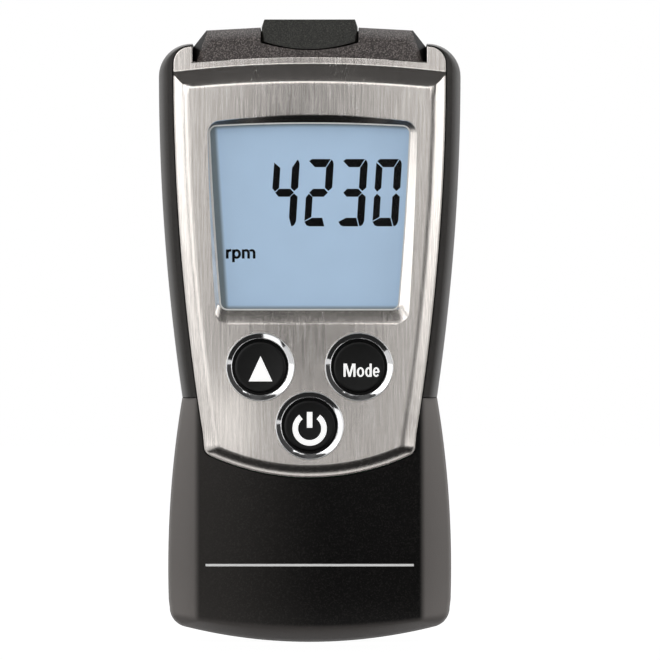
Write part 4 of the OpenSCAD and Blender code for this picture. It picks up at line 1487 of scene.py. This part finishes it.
@dataclass
class Display:
    """Seven-segment digits and the unit on the liquid crystal glass."""

    digits: str = "4230"
    right_edges: tuple[float, ...] = (-1.48, 3.70, 8.88, 14.06)
    top_z: float = 73.5
    height: float = 10.24
    width: float = 3.92
    slant: float = 0.062
    unit_corner: Point = (-12.75, 58.36)
    unit_x_height: float = 1.39
    thickness: float = 0.02

    SEGMENTS = {
        "a": ((0.04, 0.03), (0.15, 0.0), (0.875, 0.0), (0.70, 0.12), (0.275, 0.12)),
        "b": ((0.905, 0.008), (0.965, 0.03), (1.0, 0.075), (1.0, 0.425), (0.85, 0.475),
              (0.715, 0.425), (0.715, 0.13)),
        "c": ((0.85, 0.51), (1.0, 0.56), (1.0, 0.92), (0.95, 0.97), (0.885, 0.995),
              (0.82, 0.995), (0.715, 0.865), (0.715, 0.56)),
        "d": ((0.0, 0.932), (0.285, 0.873), (0.685, 0.873), (0.785, 1.0), (0.20, 1.0),
              (0.09, 0.985)),
        "e": ((0.11, 0.515), (0.26, 0.565), (0.26, 0.862), (0.0, 0.918), (0.0, 0.57)),
        "f": ((0.01, 0.052), (0.26, 0.132), (0.26, 0.43), (0.11, 0.485), (0.0, 0.435)),
        "g": ((0.12, 0.5), (0.26, 0.442), (0.70, 0.442), (0.845, 0.5), (0.69, 0.56),
              (0.26, 0.56)),
    }
    SHAPES = {"4": "fgbc", "2": "abged", "3": "abgcd", "0": "abcdef"}

    def build(self) -> None:
        """Builds and dresses the display."""
        glass = Cad.low("lcd_panel").y
        front, back = glass - self.thickness, glass - self.thickness / 4
        ink = Shape()
        for digit, right in zip(self.digits, self.right_edges):
            for name in self.SHAPES[digit]:
                points = [(right - self.width * (1 - u) - self.slant * self.height * v,
                           self.top_z - self.height * v) for u, v in self.SEGMENTS[name]]
                ink.slab(front, back, points)
        ink.finish("display_digits", FINISHES.ink)
        unit = unit_rpm().shape(self.unit_corner, self.unit_x_height, front, back)
        unit.finish("display_unit", FINISHES.ink)


@dataclass
class Lettering:
    """Plain bold lettering, drawn in units of its own height from its lower left corner."""

    stem: float
    bar: float
    pieces: list[Outline] = field(default_factory=list)

    def block(self, left: float, foot: float, right: float, top: float) -> "Lettering":
        """Adds an upright rectangle."""
        self.pieces.append([(left, foot), (right, foot), (right, top), (left, top)])
        return self

    def polygon(self, points: Outline) -> "Lettering":
        """Adds a polygon."""
        self.pieces.append(points)
        return self

    def bowl(self, left: float, right: float, foot: float, top: float, start: float = 0,
             end: float = 360) -> "Lettering":
        """Adds an oval stroke, or part of one between two angles in degrees.

        Args:
            left: Left end of the oval.
            right: Right end of the oval.
            foot: Lowest point.
            top: Highest point.
            start: Angle at which the stroke starts.
            end: Angle at which it ends.

        Returns:
            This lettering.
        """
        middle = ((left + right) / 2, (foot + top) / 2)
        wide, tall = (right - left) / 2, (top - foot) / 2
        angles = turns(start, end, 24)
        for a, b in zip(angles, angles[1:]):
            self.pieces.append([
                (middle[0] + (wide - stem) * math.cos(t), middle[1] + (tall - bar) * math.sin(t))
                for stem, bar, t in ((0, 0, a), (0, 0, b), (self.stem, self.bar, b),
                                     (self.stem, self.bar, a))])
        return self

    def shape(self, corner: Point, height: float, front: float, back: float) -> Shape:
        """Places the lettering.

        Args:
            corner: x and z of its lower left corner.
            height: Its unit height.
            front: y of the letters' front.
            back: y of their back.

        Returns:
            The shape.
        """
        made = Shape()
        for piece in self.pieces:
            made.slab(front, back, [(corner[0] + x * height, corner[1] + z * height)
                                    for x, z in piece])
        return made


def word_mode() -> Lettering:
    """The word Mode, one cap height tall.

    Returns:
        The lettering.
    """
    return (Lettering(0.15, 0.125)
            .block(0, 0, 0.165, 1).block(0.745, 0, 0.91, 1)
            .polygon([(0.165, 1), (0.165, 0.76), (0.38, 0), (0.455, 0), (0.455, 0.31), (0.25, 1)])
            .polygon([(0.745, 1), (0.66, 1), (0.455, 0.31), (0.455, 0), (0.53, 0), (0.745, 0.76)])
            .bowl(1.01, 1.57, -0.015, 0.725)
            .bowl(1.64, 2.14, -0.015, 0.725).block(1.975, 0, 2.14, 1)
            .bowl(2.225, 2.735, -0.015, 0.725, 0, 322).block(2.33, 0.3, 2.7, 0.415))


def unit_rpm() -> Lettering:
    """The unit rpm, one small letter tall.

    Returns:
        The lettering.
    """
    return (Lettering(0.3, 0.26)
            .block(0, 0, 0.3, 1).bowl(0.0, 1.0, 0.0, 1.03, 86, 150)
            .polygon([(0.44, 1.04), (0.6, 1.04), (0.6, 0.74), (0.44, 0.78)])
            .block(0.68, -0.4, 0.98, 1).bowl(0.68, 1.66, -0.03, 1.03)
            .block(1.75, 0, 2.05, 1).block(2.35, 0, 2.63, 0.62).block(2.95, 0, 3.24, 0.62)
            .bowl(1.83, 2.63, 0.2, 1.04, 0, 140).bowl(2.44, 3.24, 0.2, 1.04, 0, 140))


@dataclass
class Key:
    """One key with its bright ring and its sign."""

    name: str
    sign: Sign
    depths: Depths
    ring: float = 5.2
    ring_inner: float = 4.3
    sleeve: float = 4.75
    ring_rise: float = 0.6
    bead: float = 0.08
    fine: float = 0.05
    funnel_step: float = 0.04
    funnel_drop: float = 0.165
    cap: float = 3.95
    cap_sunk: float = 0.35
    cap_round: float = 0.35
    dish: float = 0.15
    dish_share: float = 0.86
    flange: float = 4.5
    flange_depth: float = 0.6
    plunger: float = 1.6
    print_height: float = 0.03
    word_corner: Point = (-2.36, -1.5)
    word_height: float = 2.0

    @property
    def centre(self) -> Point:
        """x and z of the key."""
        middle = Cad.middle(f"{self.name}_button")
        return middle.x, middle.z

    @property
    def body(self) -> str:
        """The body that the key rides on."""
        return f"{self.name}_key"

    def dish_depth(self, radius: float) -> float:
        """Depth of the cap's dished front at a distance from its middle."""
        front = self.depths.face - self.ring_rise + self.cap_sunk
        return front + self.dish * (1 - (radius / self.cap) ** 2)

    def build(self) -> None:
        """Builds and dresses the key, its ring and its sign."""
        node = f"{self.name}_button"
        front, back = self.dish_depth(self.cap), Cad.high(node).y
        flange = self.depths.sheet - 0.2
        radii = [self.cap * self.dish_share * t for t in shares(8)]
        dished = [(r, self.dish_depth(r)) for r in radii]
        rounded = [(self.cap - self.cap_round * (1 - math.sin(a)),
                    front + self.cap_round * (1 - math.cos(a))) for a in turns(0, 90, 6, 1)]
        cap = Shape().turned(
            dished + rounded + [(self.cap, flange), (self.flange, flange),
                                (self.flange, flange + self.flange_depth),
                                (self.plunger, flange + self.flange_depth),
                                (self.plunger, back), (0, back)], self.centre)
        cap.finish(f"{self.name}_cap", FINISHES.key, self.body, replaces=[node])
        self.build_ring()
        self.build_sign()

    def build_ring(self) -> None:
        """Builds the ring, a flat funnel with a fine inner bead, and its satin edge."""
        top, seat = self.depths.face - self.ring_rise, self.depths.face + 0.02
        sleeve = Cad.high(f"{self.name}_button_ring").y
        bead, fine = self.bead, self.fine
        outer, inner = self.ring - 2 * bead, self.ring_inner + 2 * fine
        edge = top + self.funnel_step
        funnel = [(outer + (inner - outer) * t, edge + self.funnel_drop * (1.12 - 0.12 * t) * t)
                  for t in shares(12)]
        lip = [(self.ring_inner + fine + fine * math.cos(a),
                edge + self.funnel_drop - fine * math.sin(a)) for a in turns(60, 180, 8)]
        profile = funnel + lip + [(self.ring_inner, sleeve), (self.sleeve, sleeve),
                                  (self.sleeve, seat), (outer, seat)]
        ring = Shape().turned(profile, self.centre, 128, closed=True)
        ring.finish(f"{self.name}_bezel", FINISHES.chrome,
                    replaces=[f"{self.name}_button_ring"], sharp=40)
        rim = [(self.ring - bead + bead * math.cos(a), top + bead * (1 - math.sin(a)))
               for a in turns(0, 180, 12)]
        Shape().turned(rim + [(outer, seat), (self.ring, seat)], self.centre, 128,
                       closed=True).finish(f"{self.name}_bezel_edge", FINISHES.satin, sharp=60)

    def build_sign(self) -> None:
        """Builds the printed sign, which follows the dished cap."""
        makers: dict[Sign, Callable[[float], Shape]] = {
            Sign.UP: self.triangle, Sign.MODE: self.word, Sign.POWER: self.power}
        sign = makers[self.sign](self.dish_depth(0) - self.print_height)
        for vert in sign.bm.verts:
            away = math.hypot(vert.co.x - self.centre[0], vert.co.z - self.centre[1])
            vert.co.y += self.dish_depth(away) - self.dish_depth(0)
        sign.finish(f"{self.name}_sign", FINISHES.white_print, self.body)

    def triangle(self, depth: float) -> Shape:
        """The upward triangle.

        Args:
            depth: y of the sign's front.

        Returns:
            The sign's shape.
        """
        x, z = self.centre[0] + 0.05, self.centre[1]
        half, top, foot = 1.79, z + 1.65, z - 2.2
        return Shape().slab(depth, depth + self.print_height, [
            (x - half, foot), (x, foot), (x + half, foot), (x + half / 2, (top + foot) / 2),
            (x, top), (x - half / 2, (top + foot) / 2)])

    def word(self, depth: float) -> Shape:
        """The word Mode.

        Args:
            depth: y of the sign's front.

        Returns:
            The sign's shape.
        """
        x, z = self.centre
        left, foot = self.word_corner
        return word_mode().shape((x + left, z + foot), self.word_height, depth,
                                 depth + self.print_height)

    def power(self, depth: float) -> Shape:
        """The broken ring and the bar of the power sign.

        Args:
            depth: y of the sign's front.

        Returns:
            The sign's shape.
        """
        x, z = self.centre
        middle = (x, z - 0.45)
        outer, inner, gap, half, foot, top = 2.61, 1.76, 37.0, 0.42, z - 0.33, z + 2.06
        broken = (arc(middle, outer, 90 + gap, 450 - gap, 48)
                  + arc(middle, inner, 450 - gap, 90 + gap, 48))
        sign = Shape().slab(depth, depth + self.print_height, broken)
        return sign.box((x - half, depth, foot), (x + half, depth + self.print_height, top))


@dataclass
class BatteryDoor:
    """The battery cover on the back with its grip grooves."""

    body: Body
    depths: Depths
    ridges: int = 5
    ridge_pitch: float = 1.6
    ridge_half: float = 7.0
    ridge_height: float = 0.7
    ridge_sunk: float = 0.4
    ridge_top_z: float = 45.88
    thickness: float = 1.42

    def build(self) -> None:
        """Builds and dresses the door."""
        low, high = Cad.low("battery_cover"), Cad.high("battery_cover")
        inner = self.depths.back - self.thickness
        door = Shape().box((low.x, inner, low.z), (high.x, self.depths.back, high.z))
        door.carve(Shape().loft([(inner - OVER, self.body.whole(0))]
                                + self.body.rounded_back(self.depths.back, first=6)),
                   how=Carving.KEEP)
        for i in range(self.ridges):
            z = self.ridge_top_z - i * self.ridge_pitch
            door.carve(Shape().box(
                (-self.ridge_half, self.depths.back - self.ridge_sunk, z),
                (self.ridge_half, self.depths.back + OVER, z + self.ridge_height)))
        door.finish("battery_door", FINISHES.housing, "cover", rim=0.12,
                    replaces=["battery_cover"])


# ---------------------------------------------------------------- inner pieces


def dress_inner_nodes() -> None:
    """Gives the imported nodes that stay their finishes."""
    finishes = {
        "display_window": FINISHES.window, "display_gasket": FINISHES.foam,
        "lcd_backlight": FINISHES.guide, "lcd_frame": FINISHES.frame_plastic,
        "display_connector_strips": FINISHES.strips, "main_board": FINISHES.board,
        "controller_chip": FINISHES.chip, "quartz_crystal": FINISHES.can,
        "board_screws": FINISHES.screw, "housing_screws": FINISHES.screw,
        "keypad_mat": FINISHES.mat, "snap_domes": FINISHES.spring,
        "battery_1": FINISHES.sleeve, "battery_2": FINISHES.sleeve,
        "battery_springs": FINISHES.spring, "battery_contacts": FINISHES.contact,
        "optics_holder": FINISHES.inner_black, "emitter_lens": FINISHES.lens,
        "receiver_lens": FINISHES.lens, "emitter_diode": FINISHES.emitter,
        "receiver_diode": FINISHES.receiver, "sensor_board": FINISHES.board,
        "sensor_pins": FINISHES.pins,
        "lcd_panel": Lit("display_glass", (0.40, 0.545, 0.715), (0.355, 0.495, 0.665),
                         (0.5, 64.7), (14.5, 14.0), glow=0.57),
    }
    for name, finish in finishes.items():
        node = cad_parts[name]
        node.data.materials.clear()
        node.data.materials.append(finish.material())


# ---------------------------------------------------------------- studio


@dataclass
class Studio:
    """Floor, cards, lamps, background and camera."""

    image_px: float = 660.0
    px_per_mm: float = 6.565
    middle_px: Point = (309.7, 641.8)
    distance: float = 1500.0
    plane_y: float = -5.0
    sensor: float = 36.0
    reach: float = 900.0
    low_z: float = 3.0
    ambient: float = 0.42
    floor_half: float = 2500.0
    floor_glow: float = 1.15
    floor_share: float = 0.85
    target: tuple[float, float, float] = (0.0, 0.0, 50.0)

    def camera(self) -> None:
        """Sets the camera that looks at the display from straight ahead."""
        data = bpy.data.cameras.new("camera")
        data.sensor_width = self.sensor
        data.lens = self.sensor * self.distance / (self.image_px / self.px_per_mm)
        data.clip_end = 10
        camera = bpy.data.objects.new("camera", data)
        half = self.image_px / 2
        camera.location = Vector(((half - self.middle_px[0]) / self.px_per_mm,
                                  self.plane_y - self.distance,
                                  (self.middle_px[1] - half) / self.px_per_mm)) * MM
        camera.rotation_euler = (math.radians(90), 0, 0)
        bpy.context.scene.collection.objects.link(camera)
        bpy.context.scene.camera = camera

    def background(self) -> None:
        """Sets the world: white where it is seen, grey where it lights."""
        world = bpy.data.worlds.new("studio")
        world.use_nodes = True
        bpy.context.scene.world = world
        graph = Graph(world.node_tree)
        grey, white = [
            graph.node("ShaderNodeBackground", inputs={"Color": (1, 1, 1, 1), "Strength": level})
            for level in (self.ambient, 1.0)]
        graph.close(graph.node("ShaderNodeMixShader", inputs={
            0: self.seen(graph), 1: grey.outputs[0], 2: white.outputs[0]}), "World")

    @staticmethod
    def seen(graph: Graph) -> Value:
        """1 for rays from the camera, off metal or through glass.

        Args:
            graph: The graph in which it is worked out.

        Returns:
            The value.
        """
        path = graph.node("ShaderNodeLightPath")
        camera, glossy, through = [
            Value(graph, path.outputs[f"Is {kind} Ray"])
            for kind in ("Camera", "Glossy", "Transmission")]
        return (camera + glossy + through).above(0.5, 0.1)

    def floor(self) -> None:
        """Adds the pale floor, which keeps a faint shadow."""
        plane = Shape()
        bmesh.ops.create_grid(plane.bm, x_segments=1, y_segments=1, size=self.floor_half)
        floor = plane.as_object("floor")
        for vert in floor.data.vertices:
            vert.co *= MM
        material, graph = new_material("floor")
        pale = graph.node("ShaderNodeBsdfDiffuse", inputs={"Color": (0.9, 0.9, 0.9)})
        glow = graph.node("ShaderNodeEmission", inputs={"Strength": self.floor_glow})
        graph.close(graph.node("ShaderNodeMixShader", inputs={
            0: self.seen(graph) * self.floor_share, 1: pale.outputs[0], 2: glow.outputs[0]}))
        floor.data.materials.append(material)

    def place(self, azimuth: float, elevation: float) -> Vector:
        """Point of the light ring at an azimuth to the right and an elevation, in degrees.

        Args:
            azimuth: Angle to the right.
            elevation: Angle upwards.

        Returns:
            The point in millimetres.
        """
        a, e = math.radians(azimuth), math.radians(elevation)
        return Vector(self.target) + self.reach * Vector(
            (math.sin(a) * math.cos(e), -math.cos(a) * math.cos(e), math.sin(e)))

    def size(self, span: Point) -> Point:
        """Width and height of a card or lamp that spans the given angles in degrees."""
        return tuple(2 * self.reach * math.tan(math.radians(angle / 2)) for angle in span)

    def card(self, name: str, centre: Sequence[float], size: Point, target: Sequence[float],
             shade: float, near: bool = False) -> None:
        """Adds a plain card that only reflections and soft light see.

        Args:
            name: The card's name.
            centre: Its place in millimetres.
            size: Its width and height in millimetres.
            target: The point that it faces in millimetres.
            shade: Its grey level.
            near: Whether it stands close to the instrument and is only reflected.
        """
        shape = Shape()
        bmesh.ops.create_grid(shape.bm, x_segments=1, y_segments=1, size=0.5)
        bmesh.ops.scale(shape.bm, vec=(size[0], size[1], 1), verts=shape.bm.verts)
        aim = (Vector(target) - Vector(centre)).to_track_quat("Z", "Y").to_matrix().to_4x4()
        bmesh.ops.transform(shape.bm, matrix=Matrix.Translation(centre) @ aim,
                            verts=shape.bm.verts)
        bmesh.ops.scale(shape.bm, vec=(MM, MM, MM), verts=shape.bm.verts)
        card = shape.as_object(name)
        material, graph = new_material(name)
        graph.close(graph.node("ShaderNodeEmission", inputs={"Color": (shade, shade, shade)}))
        card.data.materials.append(material)
        card.visible_camera = False
        card.visible_shadow = False
        card.visible_transmission = False
        card.visible_diffuse = not near

    def lamp(self, name: str, azimuth: float, elevation: float, span: Point,
             level: float) -> None:
        """Adds a soft rectangular lamp that faces the instrument.

        Args:
            name: The lamp's name.
            azimuth: Its azimuth to the right in degrees.
            elevation: Its elevation in degrees.
            span: The angles that its width and height span in degrees.
            level: How bright its surface is, 1 being white.
        """
        data = bpy.data.lights.new(name, "AREA")
        data.shape = "RECTANGLE"
        width, height = self.size(span)
        data.size, data.size_y = width * MM, height * MM
        data.energy = level * math.pi * data.size * data.size_y
        lamp = bpy.data.objects.new(name, data)
        centre = self.place(azimuth, elevation)
        lamp.location = centre * MM
        lamp.rotation_euler = (Vector(self.target) - centre).to_track_quat("-Z", "Y").to_euler()
        lamp.visible_camera = False
        bpy.context.scene.collection.objects.link(lamp)

    def build(self) -> None:
        """Sets up the whole studio."""
        bpy.context.scene.view_settings.view_transform = "Standard"
        self.camera()
        self.background()
        self.floor()
        for name, azimuth, elevation, span, shade, near in (
                ("front_card", -2, 5, (24, 17), 0.83, False),
                ("top_card", 0, 54.5, (110, 61), 0.05, False),
                ("right_card", 22, 8, (24, 60), 0.05, False),
                ("slot_card", -35, 8, (6, 70), 0.06, True)):
            self.card(name, self.place(azimuth, elevation), self.size(span), self.target, shade,
                      near)
        for name, x, y, size, shade, near in (
                ("low_card", 0, -244, (110, 454), 0.02, False),
                ("low_right_card", 105, -241, (100, 460), 0.02, True),
                ("far_left_card", -430, -300, (750, 800), 0.7, True),
                ("far_right_card", 500, -300, (690, 800), 0.74, True)):
            self.card(name, (x, y, self.low_z), size, (x, y, self.reach), shade, near)
        for name, x, y, z, size, shade in (
                ("face_card", -1.2, -120, 73, (20, 74), 0.09),
                ("cover_card", 6, -110, 11.5, (46, 21), 0.02),
                ("glow_card", -12.5, -42, 32, (7, 12), 1.15)):
            self.card(name, (x, y, z), size, (x, 0, z), shade, True)
        self.lamp("left_lamp", -47, 12, (66, 95), 0.86)
        self.lamp("right_lamp", 62, 10, (56, 80), 0.88)
        self.lamp("high_lamp", 0, 18, (50, 8), 1.7)
        self.lamp("back_lamp", 180, 45, (60, 40), 1.5)


def main() -> None:
    """Builds the instrument and its studio in order."""
    logging.basicConfig(level=logging.INFO, format="%(message)s")
    Studio().build()
    body, face, depths = Body(), Face(), Depths()
    Housing(body, face, depths).build()
    LowerCover(body, face, depths).build()
    keys = [Key("up", Sign.UP, depths), Key("mode", Sign.MODE, depths),
            Key("power", Sign.POWER, depths)]
    MetalFace(face, depths).build([key.centre for key in keys])
    for key in keys:
        key.build()
    Display().build()
    SensorHead(depths).build()
    BatteryDoor(body, depths).build()
    dress_inner_nodes()


if __name__ == "__main__":
    main()
